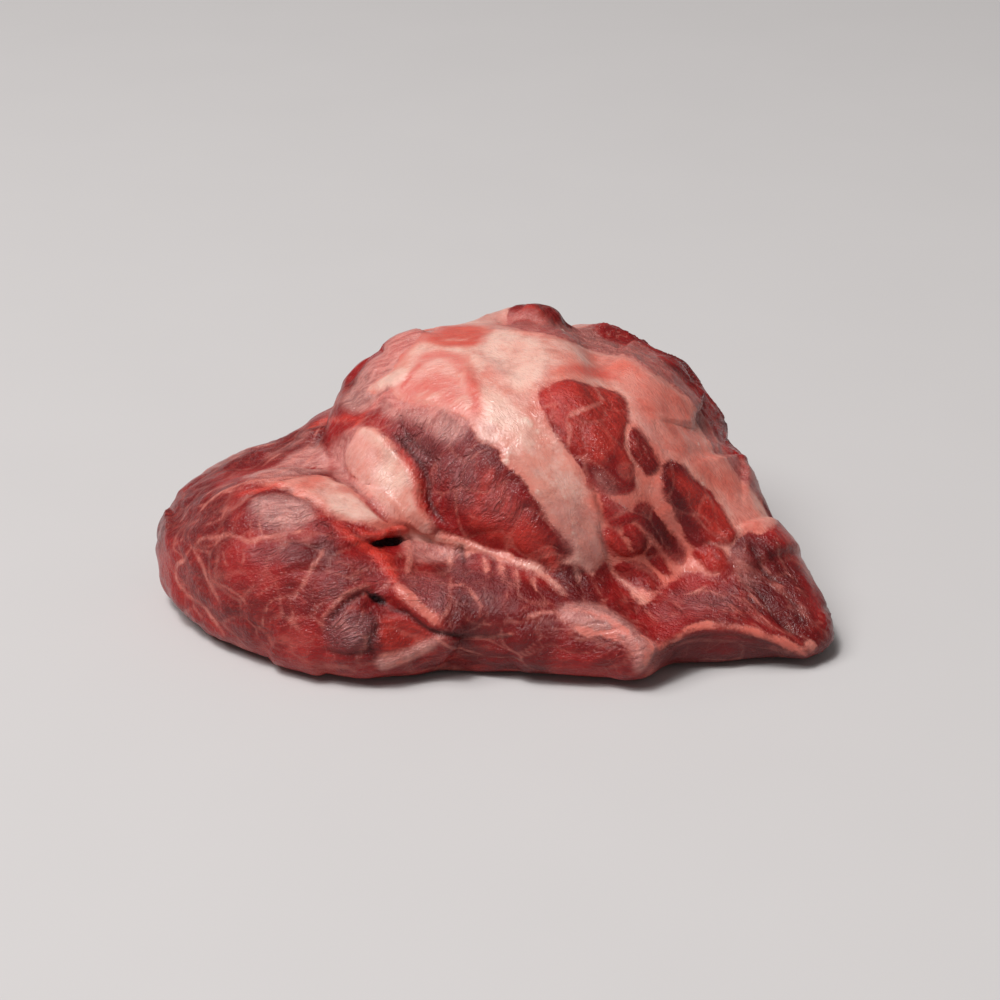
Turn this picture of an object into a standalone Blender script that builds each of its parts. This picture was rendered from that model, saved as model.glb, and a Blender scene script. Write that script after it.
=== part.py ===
"""A raw beef cheek: one piece of meat that lies on its flat underside.

The muscle masses are ellipsoids and tapered bars, blended into one smooth field. Seams, folds and
pockets are pressed into that field, and it is meshed on a gridded sphere as one closed solid.
Units are metres. +X runs along the cheek to its thin tip, +Y goes to the back, +Z is up, and the
origin is under the middle of the finished box.
"""

import math
from dataclasses import dataclass

import bmesh
import bpy
import numpy as np

# Driving dimensions of the finished piece.
LENGTH = 0.186
DEPTH = 0.131
HEIGHT = 0.070

# The sphere that the mesh starts from: cells along one side of its six faces.
CELLS = 31
# Rays to the surface start on this flat inner ellipse, so that the long piece gets even cells.
CORE_CENTRE = (0.002, 0.000, 0.020)
CORE_SPREAD = (0.046, 0.020, 0.006)
RAY_REACH = 0.120
RAY_STEP = 0.0015
BISECTIONS = 16
# No seam or fold stands further out of the blended masses than this.
RELIEF_REACH = 0.005
# Rounds in which each vertex slides along the surface to the middle of its neighbours. After the
# last one it moves half of that way off the surface too, which softens the sharpest lips.
EVENING_ROUNDS = 3

# How softly the underside turns into the sides.
BASE_BLEND = 0.007
# The underside touches the surface at three low points, each (x, y), and clears it elsewhere.
FEET = ((-0.068, -0.030), (0.066, -0.042), (0.020, 0.044))
FOOT_DROP = 0.0003

# Seams and folds are drawn in millimetres (across, up) on two leaning sheets through this middle.
# Each is carried onto the meat from an eye that stands square to its sheet, in front or behind.
SHEET_MIDDLE = (0.0034, 0.000, 0.022)
EYE_DISTANCE = 0.666
EYE_RISE_DEG = 27.0
MILLIMETRE = 0.001

RAW_MEAT = (0.33, 0.045, 0.045, 1.0)
WET_ROUGHNESS = 0.38


@dataclass(frozen=True)
class Mass:
    """An ellipsoid of muscle, turned about +Z."""

    name: str
    centre: tuple
    radii: tuple
    turn_deg: float = 0.0
    blend: float = 0.012


@dataclass(frozen=True)
class Roll:
    """A tapered bar of muscle through points (x, y, z), each with its own radius."""

    name: str
    points: tuple
    radii: tuple
    blend: float = 0.012


@dataclass(frozen=True)
class Furrow:
    """A line on a sheet, in millimetres. It is pressed into the meat by depth."""

    name: str
    path: tuple
    width: float
    depth: float
    behind: bool = False


@dataclass(frozen=True)
class Swell(Furrow):
    """A line on a sheet along which the meat stands up by depth."""


@dataclass(frozen=True)
class Pocket:
    """A slit through its lips, points in millimetres on the front sheet, that runs into the meat."""

    name: str
    lips: tuple
    run: tuple
    radius: float
    blend: float = 0.002


MASSES = (
    Mass("hump", (0.012, 0.002, 0.028), (0.047, 0.044, 0.041), blend=0.0),
    Mass("back_mass", (0.019, 0.025, 0.027), (0.045, 0.037, 0.038), turn_deg=-10),
    Mass("upper_left", (-0.014, 0.013, 0.034), (0.031, 0.034, 0.031), blend=0.011),
    Mass("shoulder", (-0.049, -0.003, 0.015), (0.041, 0.032, 0.023), blend=0.020),
    Mass("left_cushion", (-0.054, -0.028, 0.012), (0.044, 0.027, 0.030), turn_deg=-39, blend=0.008),
    Mass("right_slope", (0.038, 0.000, 0.021), (0.032, 0.043, 0.033), turn_deg=-34, blend=0.014),
    Mass("under_mass", (0.000, -0.018, 0.003), (0.060, 0.038, 0.014), blend=0.006),
    Mass("right_skirt", (0.052, -0.041, 0.005), (0.036, 0.018, 0.012), turn_deg=-6, blend=0.010),
)

ROLLS = (
    Roll(
        "front_roll",
        ((-0.030, -0.051, 0.008), (0.006, -0.050, 0.009), (0.037, -0.057, 0.006)),
        (0.015, 0.015, 0.010),
    ),
    Roll(
        "right_ridge",
        ((0.054, -0.008, 0.019), (0.075, -0.029, 0.010), (0.087, -0.047, 0.004)),
        (0.019, 0.014, 0.005),
        blend=0.014,
    ),
    Roll(
        "top_nub",
        ((0.004, 0.030, 0.062), (0.012, 0.031, 0.0675), (0.018, 0.031, 0.064)),
        (0.005, 0.003, 0.005),
        blend=0.005,
    ),
)

RELIEF = (
    Furrow(
        "cushion_seam",
        ((-46, -6), (-38, -12), (-33, -19), (-34, -28), (-28, -37), (-20, -44)),
        width=3.2,
        depth=3.8,
    ),
    Swell(
        "red_rim",
        ((-40, -11), (-35, -15), (-31, -20), (-29, -24), (-24, -29), (-17, -35), (-13, -42)),
        width=2.6,
        depth=1.6,
    ),
    Swell("tendon_ridge", ((-70, 6), (-57, 8), (-52, 8), (-46, 4), (-39, -1), (-33, -6)), 3.6, 2.0),
    Furrow("shoulder_groove", ((-46, 14), (-46, 10), (-44, 6), (-38, 2)), 3.2, 1.8),
    Swell("flap_pad", ((-37, 19), (-35, 8), (-28, -1)), 6.0, 2.0),
    Swell(
        "flap_rim",
        ((-32, 19), (-28, 14), (-25, 10), (-24, 6), (-23, -1), (-19, -7), (-13, -11)),
        width=2.8,
        depth=2.0,
    ),
    Furrow("flap_step", ((-24, 17), (-20, 12), (-19, 3), (-15, -5)), 3.6, 1.8),
    Swell("dark_plate", ((-12, 20), (2, 2), (12, -13)), 9.0, 1.4),
    Furrow("fat_step", ((-19, -10), (-12, -11), (-5, -13), (1, -15), (10, -20), (18, -27)), 3.0, 2.2),
    Furrow("pale_band", ((1, 42), (7, 33), (15, 19), (22, 5), (26, -6)), 6.0, 1.6),
    Furrow("band_crease", ((26, 6), (26, -3), (29, -10), (30, -19), (34, -24), (40, -31)), 3.0, 1.8),
    Swell("upper_island", ((15, 28), (26, 24), (32, 12)), 7.0, 1.2),
    Furrow("pale_valley", ((32, 26), (39, 8), (46, -6), (54, -14)), 3.6, 1.3),
    Swell("right_island", ((50, 10), (60, -6)), 6.0, 1.2),
    Swell("red_knob", ((58, -14), (62, -18)), 3.4, 1.8),
    Furrow("upper_wrinkle", ((74, -15), (79, -22)), 2.6, 1.2),
    Furrow("lower_wrinkle", ((71, -21), (75, -27), (80, -34)), 2.6, 1.4),
    Swell("hem", ((44, -43), (49, -39), (55, -36), (69, -36), (77, -40), (84, -44)), 3.2, 2.4),
    Furrow("hem_scoop", ((50, -46), (58, -44), (68, -43), (77, -45)), 4.0, 4.2),
    Swell("front_foot", ((36, -42), (39, -48)), 4.6, 2.6),
    Furrow("front_notch", ((-16, -50), (-9, -47), (-5, -40)), 4.0, 4.4),
    Furrow("cushion_crease", ((-48, -14), (-52, -19), (-57, -25), (-60, -29)), 3.0, 1.0),
    Furrow("cushion_split", ((-50, -36), (-45, -27), (-38, -25)), 3.0, 1.2),
    Furrow("left_end_crease", ((-91, -18), (-90, -25), (-83, -33)), 3.0, 1.2),
    Furrow("back_seam", ((30, 44), (24, 22), (10, 2), (-6, -18), (-12, -40)), 5.0, 3.4, behind=True),
    Furrow("back_left_seam", ((-52, 22), (-44, 6), (-40, -14), (-46, -34)), 4.6, 2.8, behind=True),
    Swell("back_fold", ((42, 34), (54, 16), (60, -8), (58, -30)), 5.0, 2.2, behind=True),
    Furrow("back_right_seam", ((50, 36), (66, 14), (70, -10), (68, -30)), 4.2, 2.4, behind=True),
    Swell("back_lobe", ((-24, -8), (-26, -28)), 10.0, 2.6, behind=True),
    Furrow("back_hem_scoop", ((-30, -32), (-10, -38), (14, -40)), 4.0, 2.6, behind=True),
)

POCKETS = (
    Pocket("upper_pocket", ((-37, -14), (-29, -13)), (0.001, 0.008, -0.004), 0.0022),
    Pocket("lower_pocket", ((-37, -30), (-32, -30)), (0.001, 0.008, -0.004), 0.0022),
)


def mass_distance(points, mass):
    """About how far each point lies outside the ellipsoid."""
    turn = math.radians(mass.turn_deg)
    x, y, z = (points - np.array(mass.centre)).T
    along = x * math.cos(turn) + y * math.sin(turn)
    across = y * math.cos(turn) - x * math.sin(turn)
    local, radii = np.stack([along, across, z], axis=-1), np.array(mass.radii)
    near = np.linalg.norm(local / radii, axis=-1)
    slope = np.linalg.norm(local / radii**2, axis=-1)
    return near * (near - 1.0) / np.maximum(slope, 1e-9)


def line_distance(points, line):
    """Distance to the nearest place on a line of points, and which place that is."""
    best = np.full(len(points), np.inf)
    where = np.zeros(len(points))
    for index, (start, end) in enumerate(zip(line[:-1], line[1:])):
        along = end - start
        share = np.clip((points - start) @ along / (along @ along), 0.0, 1.0)
        gap = np.linalg.norm(points - start - share[:, None] * along, axis=-1)
        where = np.where(gap < best, index + share, where)
        best = np.minimum(best, gap)
    return best, where


def roll_distance(points, roll):
    """About how far each point lies outside the tapered bar."""
    gap, where = line_distance(points, np.array(roll.points))
    return gap - np.interp(where, range(len(roll.radii)), roll.radii)


def blended(first, second, width):
    """The smaller of two fields, rounded over where they meet."""
    if width <= 0.0:
        return np.minimum(first, second)
    overlap = np.maximum(width - np.abs(first - second), 0.0) / width
    return np.minimum(first, second) - overlap**2 * width / 4.0


def muscle_field(points):
    """The blended muscle masses, with nothing pressed in: negative inside."""
    field = np.full(len(points), np.inf)
    for mass in MASSES:
        field = blended(field, mass_distance(points, mass), mass.blend)
    for roll in ROLLS:
        field = blended(field, roll_distance(points, roll), roll.blend)
    return field


def carried(path, behind):
    """The points of a sheet's line, carried onto the muscle from the sheet's eye."""
    rise = math.radians(EYE_RISE_DEG)
    side = 1.0 if behind else -1.0
    up = np.array([0.0, -side * math.sin(rise), math.cos(rise)])
    back = np.array([0.0, side * math.cos(rise), math.sin(rise)])
    eye = np.array(SHEET_MIDDLE) + back * EYE_DISTANCE
    steps = np.arange(EYE_DISTANCE - RAY_REACH, EYE_DISTANCE + RAY_REACH, RAY_STEP / 3.0)
    found = []
    for across, height in path:
        spot = np.array(SHEET_MIDDLE) + up * height * MILLIMETRE
        spot[0] += across * MILLIMETRE
        towards = (spot - eye) / np.linalg.norm(spot - eye)
        ray = eye + steps[:, None] * towards
        depths = muscle_field(ray)
        hit = np.argmax(depths < 0.0) if (depths < 0.0).any() else np.argmin(depths)
        found.append(ray[hit])
    return np.array(found)


class CheekField:
    """The whole form as a field: negative inside the meat."""

    def __init__(self):
        self.relief = [(line, carried(line.path, line.behind)) for line in RELIEF]
        self.pockets = [(pocket, carried(pocket.lips, False)) for pocket in POCKETS]

    def __call__(self, points):
        field = muscle_field(points)
        for line, places in self.relief:
            gap, _ = line_distance(points, places)
            push = line.depth * MILLIMETRE * np.exp(-((gap / (line.width * MILLIMETRE)) ** 2))
            field = field - push if isinstance(line, Swell) else field + push
        for pocket, lips in self.pockets:
            run = np.array(pocket.run)
            for lip in (lips[0], lips.mean(axis=0), lips[-1]):
                gap, _ = line_distance(points, np.array([lip - run / 2.0, lip + run]))
                field = -blended(-field, gap - pocket.radius, pocket.blend)
        return -blended(-field, points[:, 2], BASE_BLEND)


def stepped_in(field, starts, directions, reach):
    """Each ray's reach, shortened in even steps to the last one outside the field."""
    reach = reach.copy()
    searching = np.ones(len(reach), bool)
    while searching.any():
        at = starts[searching] + directions[searching] * (reach[searching] - RAY_STEP)[:, None]
        outside = (field(at) > 0.0) & (reach[searching] > RAY_STEP)
        reach[searching] = np.where(outside, reach[searching] - RAY_STEP, reach[searching])
        searching[searching] = outside
    return reach


def surface_points(field, directions):
    """Where the ray along each direction, from its start on the inner ellipse, leaves the meat."""
    starts = np.array(CORE_CENTRE) + directions * np.array(CORE_SPREAD)
    outer = stepped_in(muscle_field, starts, directions, np.full(len(directions), RAY_REACH))
    outer = stepped_in(field, starts, directions, outer + RELIEF_REACH)
    inner = outer - RAY_STEP
    for _ in range(BISECTIONS):
        middle = (inner + outer) / 2.0
        outside = field(starts + directions * middle[:, None]) > 0.0
        outer = np.where(outside, middle, outer)
        inner = np.where(outside, inner, middle)
    return starts + directions * outer[:, None]


def directions_to(places):
    """The direction whose ray passes through each place."""
    offset, spread = places - np.array(CORE_CENTRE), np.array(CORE_SPREAD)
    near, far = np.zeros(len(places)), np.full(len(places), RAY_REACH * 2.0)
    for _ in range(BISECTIONS * 2):
        middle = (near + far) / 2.0
        short = np.linalg.norm(offset / (spread + middle[:, None]), axis=1) > 1.0
        near = np.where(short, middle, near)
        far = np.where(short, far, middle)
    aim = offset / (spread + far[:, None])
    return aim / np.linalg.norm(aim, axis=1, keepdims=True)


def gridded_sphere():
    """A cube of square cells and the direction of each of its vertices."""
    grid = bmesh.new()
    bmesh.ops.create_cube(grid, size=2.0)
    bmesh.ops.subdivide_edges(grid, edges=grid.edges[:], cuts=CELLS - 1, use_grid_fill=True)
    cube = np.array([vertex.co[:] for vertex in grid.verts])
    bulged = np.tan(cube * math.pi / 4.0)
    return grid, bulged / np.linalg.norm(bulged, axis=1, keepdims=True)


def neighbour_means(places, edges):
    """The middle of each vertex's neighbours."""
    total = np.zeros_like(places)
    count = np.zeros(len(places))
    for first, second in (edges.T, edges.T[::-1]):
        np.add.at(total, first, places[second])
        np.add.at(count, first, 1.0)
    return total / count[:, None]


def set_on_feet(places):
    """Press the underside's vertex at each foot down, all to one level."""
    level = places[:, 2].min() - FOOT_DROP
    under = np.nonzero(places[:, 2] < FOOT_DROP)[0]
    for foot in FEET:
        nearest = np.argmin(np.linalg.norm(places[under, :2] - foot, axis=1))
        places[under[nearest], 2] = level


def cheek_mesh():
    """The meat as one closed mesh, scaled to its driving dimensions."""
    field = CheekField()
    grid, directions = gridded_sphere()
    grid.verts.index_update()
    edges = np.array([[vertex.index for vertex in edge.verts] for edge in grid.edges])
    places = surface_points(field, directions)
    for _ in range(EVENING_ROUNDS):
        directions = directions_to(neighbour_means(places, edges))
        places = surface_points(field, directions)
    places = (places + neighbour_means(places, edges)) / 2.0
    set_on_feet(places)
    low, high = places.min(axis=0), places.max(axis=0)
    middle = np.array([(low[0] + high[0]) / 2.0, (low[1] + high[1]) / 2.0, low[2]])
    places = (places - middle) * np.array((LENGTH, DEPTH, HEIGHT)) / (high - low)
    for vertex, place in zip(grid.verts, places):
        vertex.co = place
    mesh = bpy.data.meshes.new("beef_cheek")
    grid.to_mesh(mesh)
    grid.free()
    return mesh


def raw_meat():
    """The plain wet red of the whole piece."""
    material = bpy.data.materials.new("raw_meat")
    material.use_nodes = True
    shader = material.node_tree.nodes["Principled BSDF"]
    shader.inputs["Base Color"].default_value = RAW_MEAT
    shader.inputs["Roughness"].default_value = WET_ROUGHNESS
    shader.inputs["Metallic"].default_value = 0.0
    return material


def clear_scene():
    """Leave the scene with no objects."""
    for thing in list(bpy.data.objects):
        bpy.data.objects.remove(thing)


def main():
    """Build the cheek in a collection of its own."""
    clear_scene()
    collection = bpy.data.collections.new("beef_cheek")
    bpy.context.scene.collection.children.link(collection)
    cheek = bpy.data.objects.new("beef_cheek", cheek_mesh())
    cheek.data.materials.append(raw_meat())
    cheek.data.shade_smooth()
    collection.objects.link(cheek)


if __name__ == "__main__":
    main()
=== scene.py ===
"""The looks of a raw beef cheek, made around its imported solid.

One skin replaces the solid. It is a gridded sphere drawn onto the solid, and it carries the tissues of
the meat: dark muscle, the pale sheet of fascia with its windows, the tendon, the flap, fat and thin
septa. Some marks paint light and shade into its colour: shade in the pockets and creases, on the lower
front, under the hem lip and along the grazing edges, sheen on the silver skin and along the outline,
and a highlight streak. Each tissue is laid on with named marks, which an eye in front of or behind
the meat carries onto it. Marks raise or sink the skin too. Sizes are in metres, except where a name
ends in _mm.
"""

import logging
import math
from collections.abc import Iterable
from dataclasses import dataclass, field
from enum import Enum
from typing import Any

import bmesh
import bpy
import numpy as np
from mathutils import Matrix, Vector, kdtree, noise
from mathutils.bvhtree import BVHTree

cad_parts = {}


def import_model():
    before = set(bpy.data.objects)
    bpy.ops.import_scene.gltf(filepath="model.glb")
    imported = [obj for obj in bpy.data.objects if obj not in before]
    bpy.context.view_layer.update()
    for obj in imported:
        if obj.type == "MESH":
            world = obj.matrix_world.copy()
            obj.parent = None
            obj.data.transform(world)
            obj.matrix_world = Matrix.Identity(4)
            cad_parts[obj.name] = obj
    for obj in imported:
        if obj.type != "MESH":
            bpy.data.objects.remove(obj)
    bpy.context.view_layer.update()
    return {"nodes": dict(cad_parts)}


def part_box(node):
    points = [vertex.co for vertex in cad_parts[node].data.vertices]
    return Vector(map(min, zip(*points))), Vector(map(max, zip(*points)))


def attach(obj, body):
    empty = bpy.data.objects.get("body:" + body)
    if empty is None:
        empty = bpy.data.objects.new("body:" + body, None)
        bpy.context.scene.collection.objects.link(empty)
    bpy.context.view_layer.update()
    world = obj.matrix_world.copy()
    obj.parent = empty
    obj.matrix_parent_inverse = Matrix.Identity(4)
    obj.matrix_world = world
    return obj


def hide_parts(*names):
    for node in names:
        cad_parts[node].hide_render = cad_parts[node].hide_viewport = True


log = logging.getLogger("beef_cheek")

MM = 0.001
PHOTO_SIZE = 1000


class Tissue(Enum):
    """What a mark lays on the meat, painted shade and sheen among it. The value is the name of its
    attribute on the skin.
    """

    FASCIA = "fascia"
    SALMON = "salmon"
    WINDOW = "window"
    FAT = "fat"
    SEPTUM = "septum"
    # A grey film, and a painted reflection along the grazing top and right edges.
    VEIL_AND_EDGE_SHEEN = "veil_and_edge_sheen"
    FILM = "film"
    PALE = "pale"
    # Silver skin, painted with the pinkish sheen and glints of light on its wet wrinkles.
    SILVERSKIN_SHEEN = "silverskin_sheen"
    BRIGHT = "bright"
    # Darker muscle, and painted shade on the lower front and under the hem lip.
    DARK = "dark"
    # Painted shade, near black, in pockets and creases.
    HOLLOW_SHADE = "hollow_shade"
    RISING = "rising"
    FALLING = "falling"
    SEAM = "seam"
    FORM = "form"


# Tissues with a crisp edge keep how far each place lies inside them, in millimetres. The others keep a
# share from 0 to 1.
CRISP = (Tissue.FASCIA, Tissue.FAT, Tissue.SEPTUM)
FAR_MM = 6.0


@dataclass(frozen=True)
class Eye:
    """A place from which marks are carried onto the meat, and from which the photograph was taken."""

    turn_deg: float
    rise_deg: float = 27.0
    target: tuple[float, float, float] = (0.0034, 0.0033, 0.022)
    distance: float = 0.666
    lens_mm: float = 85.0
    sensor_mm: float = 36.0

    @property
    def backwards(self) -> np.ndarray:
        """The direction from the target to the eye.

        Returns:
            A unit vector.
        """
        turn, rise = math.radians(self.turn_deg), math.radians(self.rise_deg)
        level = math.cos(rise)
        return np.array([math.sin(turn) * level, -math.cos(turn) * level, math.sin(rise)])

    @property
    def right(self) -> np.ndarray:
        """The direction to the right of the picture."""
        turn = math.radians(self.turn_deg)
        return np.array([math.cos(turn), math.sin(turn), 0.0])

    @property
    def up(self) -> np.ndarray:
        """The direction to the top of the picture."""
        return np.cross(self.backwards, self.right)

    @property
    def place(self) -> np.ndarray:
        """Where the eye is."""
        return np.array(self.target) + self.backwards * self.distance

    @property
    def focus(self) -> float:
        """The lens's focal length in pixels."""
        return PHOTO_SIZE * self.lens_mm / self.sensor_mm

    def pixels(self, places: np.ndarray) -> np.ndarray:
        """Where places show in the picture.

        Args:
            places: points in space, one in each row.

        Returns:
            A row (across, down) in pixels for each place.
        """
        offset = places - self.place
        depth = -offset @ self.backwards
        across = offset @ self.right / depth
        height = offset @ self.up / depth
        return PHOTO_SIZE / 2 + self.focus * np.stack([across, -height], axis=-1)

    def sight(self, pixel: np.ndarray) -> np.ndarray:
        """The direction of the ray through a pixel.

        Args:
            pixel: the pixel (across, down).

        Returns:
            A unit vector.
        """
        across, down = (pixel - PHOTO_SIZE / 2) / self.focus
        ray = -self.backwards + self.right * across - self.up * down
        return ray / np.linalg.norm(ray)


FRONT = Eye(turn_deg=0.0)
BEHIND = Eye(turn_deg=180.0)


Path = tuple[tuple[float, float], ...]


@dataclass(frozen=True)
class Mark:
    """A line of tissue through pixels of an eye's picture.

    The tissue is width_mm wide, fades over soft_mm at its edges, and stands rise_mm above the meat.
    Towards both ends, over a taper share of its length, it thins out.
    """

    name: str
    tissue: Tissue
    width_mm: float
    path: Path
    rise_mm: float = 0.0
    strength: float = 1.0
    soft_mm: float = 1.0
    eye: Eye = FRONT
    taper: float = 0.22


@dataclass(frozen=True)
class Patch(Mark):
    """An area of tissue inside the closed line through its pixels. Its rise is reached at width_mm in."""


def lines(name: str, tissue: Tissue, width_mm: float, *paths: Path, **choices: Any) -> tuple[Mark, ...]:
    """A numbered line for each path, all of one tissue and width.

    Args:
        name: what the lines are called, before their numbers.
        tissue: what they lay on the meat.
        width_mm: how wide they are.
        paths: the pixels of each line.
        choices: the other fields of each mark.

    Returns:
        The marks, in order.
    """
    return tuple(Mark(f"{name}_{n}", tissue, width_mm, path, **choices) for n, path in enumerate(paths, 1))


def areas(name: str, tissue: Tissue, width_mm: float, *paths: Path, **choices: Any) -> tuple[Mark, ...]:
    """A numbered area for each path, all of one tissue.

    Args:
        name: what the areas are called, before their numbers.
        tissue: what they lay on the meat.
        width_mm: how far in their rise is reached.
        paths: the pixels around each area.
        choices: the other fields of each mark.

    Returns:
        The marks, in order.
    """
    return tuple(Patch(f"{name}_{n}", tissue, width_mm, path, **choices) for n, path in enumerate(paths, 1))


# Paths that more than one tissue follows.
SIDE_WINDOW = ((697, 551), (707, 545), (720, 548), (727, 558), (724, 571), (712, 570), (702, 561))
RED_RIM = ((393, 580), (402, 592), (414, 602), (428, 614), (443, 628))

# The pale sheet of fascia with the flap, the tendon and the fat line over the front.
SHEETS = (
    Patch(
        "pale_sheet", Tissue.FASCIA, 2.0,
        (
            (480, 306), (500, 319), (527, 326), (566, 334), (600, 342), (623, 350), (640, 359), (674, 382),
            (697, 405), (719, 439), (731, 459), (748, 487), (764, 510), (774, 528), (762, 538), (745, 536),
            (733, 548), (730, 562), (716, 577), (696, 574), (678, 580), (664, 592), (650, 604), (640, 606),
            (628, 591), (613, 576), (606, 562), (598, 568), (588, 573), (576, 567), (562, 562), (571, 549),
            (556, 527), (535, 499), (521, 476), (501, 457), (499, 447), (477, 438), (464, 415), (446, 409),
            (424, 405), (404, 400), (391, 394), (387, 380), (392, 366), (403, 352), (418, 338), (434, 326),
            (452, 312),
        ),
        rise_mm=0.3,
    ),
    Patch(
        "rim_island", Tissue.FASCIA, 2.0,
        ((366, 387), (378, 375), (392, 366), (410, 364), (412, 372), (400, 382), (386, 388), (374, 391)),
        rise_mm=0.3,
    ),
    Patch(
        "flap", Tissue.FASCIA, 1.3,
        (
            (362, 423), (376, 425), (388, 434), (402, 452), (415, 467), (421, 484), (421, 499), (428, 512),
            (438, 529), (421, 532), (408, 527), (391, 524), (375, 508), (360, 490), (349, 474), (347, 456),
            (353, 438),
        ),
        rise_mm=1.5,
    ),
    Patch(
        "tendon", Tissue.FASCIA, 3.0,
        (
            (250, 480), (278, 477), (303, 473), (322, 474), (337, 480), (353, 489), (368, 503), (383, 518),
            (396, 526), (385, 529), (368, 527), (352, 523), (334, 517), (318, 509), (303, 499), (286, 491),
            (266, 486),
        ),
        rise_mm=1.1,
    ),
    Patch(
        "flap_foot", Tissue.FASCIA, 2.0,
        ((392, 523), (412, 523), (436, 526), (452, 533), (446, 543), (430, 545), (412, 543), (402, 536)),
        rise_mm=0.4,
    ),
    Patch(
        "fat_line", Tissue.FASCIA, 1.5,
        (
            (430, 529), (448, 531), (468, 537), (488, 545), (506, 549), (518, 556), (530, 558), (541, 562),
            (549, 574), (560, 582), (568, 596), (556, 594), (545, 583), (536, 577), (526, 573), (514, 566),
            (500, 562), (484, 556), (466, 551), (448, 546), (432, 544),
        ),
        rise_mm=0.8,
    ),
    *lines(
        "fat_stub", Tissue.FASCIA, 2.7,
        ((452, 541), (450, 556), (448, 572)),
        ((468, 546), (467, 560)),
        ((484, 550), (485, 564), (487, 580)),
        ((500, 556), (502, 568), (504, 583)),
        ((515, 561), (517, 574), (519, 588)),
        ((529, 566), (533, 580), (536, 591)),
        ((574, 556), (577, 572), (579, 588)),
        ((590, 562), (592, 580)),
        rise_mm=0.3, taper=0.7,
    ),
    Patch(
        "foot_sheet", Tissue.FILM, 2.0,
        (
            (558, 609), (572, 604), (590, 604), (604, 608), (622, 618), (640, 634), (656, 648), (652, 660),
            (642, 672), (634, 668), (634, 656), (624, 642), (604, 634), (584, 634), (566, 622),
        ),
        rise_mm=0.7, soft_mm=3.0, strength=0.75,
    ),
    *lines(
        "foot_strand", Tissue.FASCIA, 2.4,
        ((560, 610), (582, 613), (606, 620), (626, 634), (644, 656)),
        ((566, 622), (586, 632), (606, 634), (624, 642), (636, 658)),
        ((640, 634), (650, 650), (642, 670)),
        rise_mm=0.3, taper=0.4,
    ),
    Patch(
        "low_fold", Tissue.FILM, 1.6,
        ((376, 661), (394, 655), (414, 647), (431, 639), (442, 634), (436, 646), (416, 658), (396, 666),
         (382, 671)),
        rise_mm=0.6, soft_mm=2.0,
    ),
    Mark("low_fold_edge", Tissue.FASCIA, 1.8, ((380, 668), (398, 664), (418, 656), (438, 642)), 0.2),
    Mark(
        "hem_lip", Tissue.FASCIA, 2.8,
        ((654, 652), (674, 640), (690, 631), (710, 627), (735, 628), (751, 631), (768, 637), (787, 644),
         (813, 657)),
        rise_mm=1.0, taper=0.05, strength=0.6,
    ),
    Mark("tip_nib", Tissue.FASCIA, 3.0, ((803, 648), (811, 645), (815, 652)), 0.6),
    Mark("first_pale_fold", Tissue.FASCIA, 2.2, ((464, 361), (467, 371), (472, 382), (480, 386)), 0.3),
)

# Windows in the pale sheet, where bundles of dark muscle show.
WINDOWS = areas(
    "window", Tissue.WINDOW, 2.4,
    (
        (541, 393), (544, 387), (557, 380), (577, 378), (592, 384), (602, 386), (615, 390), (625, 400),
        (627, 418), (623, 435), (628, 448), (633, 463), (634, 481), (630, 489), (618, 491), (603, 490),
        (590, 479), (577, 457), (564, 441), (549, 418), (541, 401),
    ),
    ((629, 429), (636, 428), (646, 440), (656, 455), (656, 467), (648, 471), (638, 463), (630, 447)),
    (
        (664, 468), (671, 459), (681, 463), (694, 478), (710, 489), (720, 507), (730, 525), (735, 540),
        (725, 545), (710, 540), (698, 545), (685, 532), (675, 510), (665, 490),
    ),
    ((632, 509), (643, 502), (655, 511), (671, 532), (684, 547), (684, 559), (672, 558), (656, 538),
     (640, 522)),
    ((603, 493), (620, 503), (636, 514), (630, 521), (619, 524), (608, 517)),
    ((603, 531), (613, 530), (626, 543), (633, 555), (620, 556), (609, 549)),
    ((624, 527), (634, 523), (645, 537), (644, 550), (636, 552), (630, 540)),
    ((647, 545), (655, 547), (667, 566), (669, 576), (658, 571), (648, 557)),
    ((616, 563), (632, 560), (650, 567), (659, 580), (655, 590), (641, 588), (628, 580), (617, 573)),
    SIDE_WINDOW,
    rise_mm=0.45,
)

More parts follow.
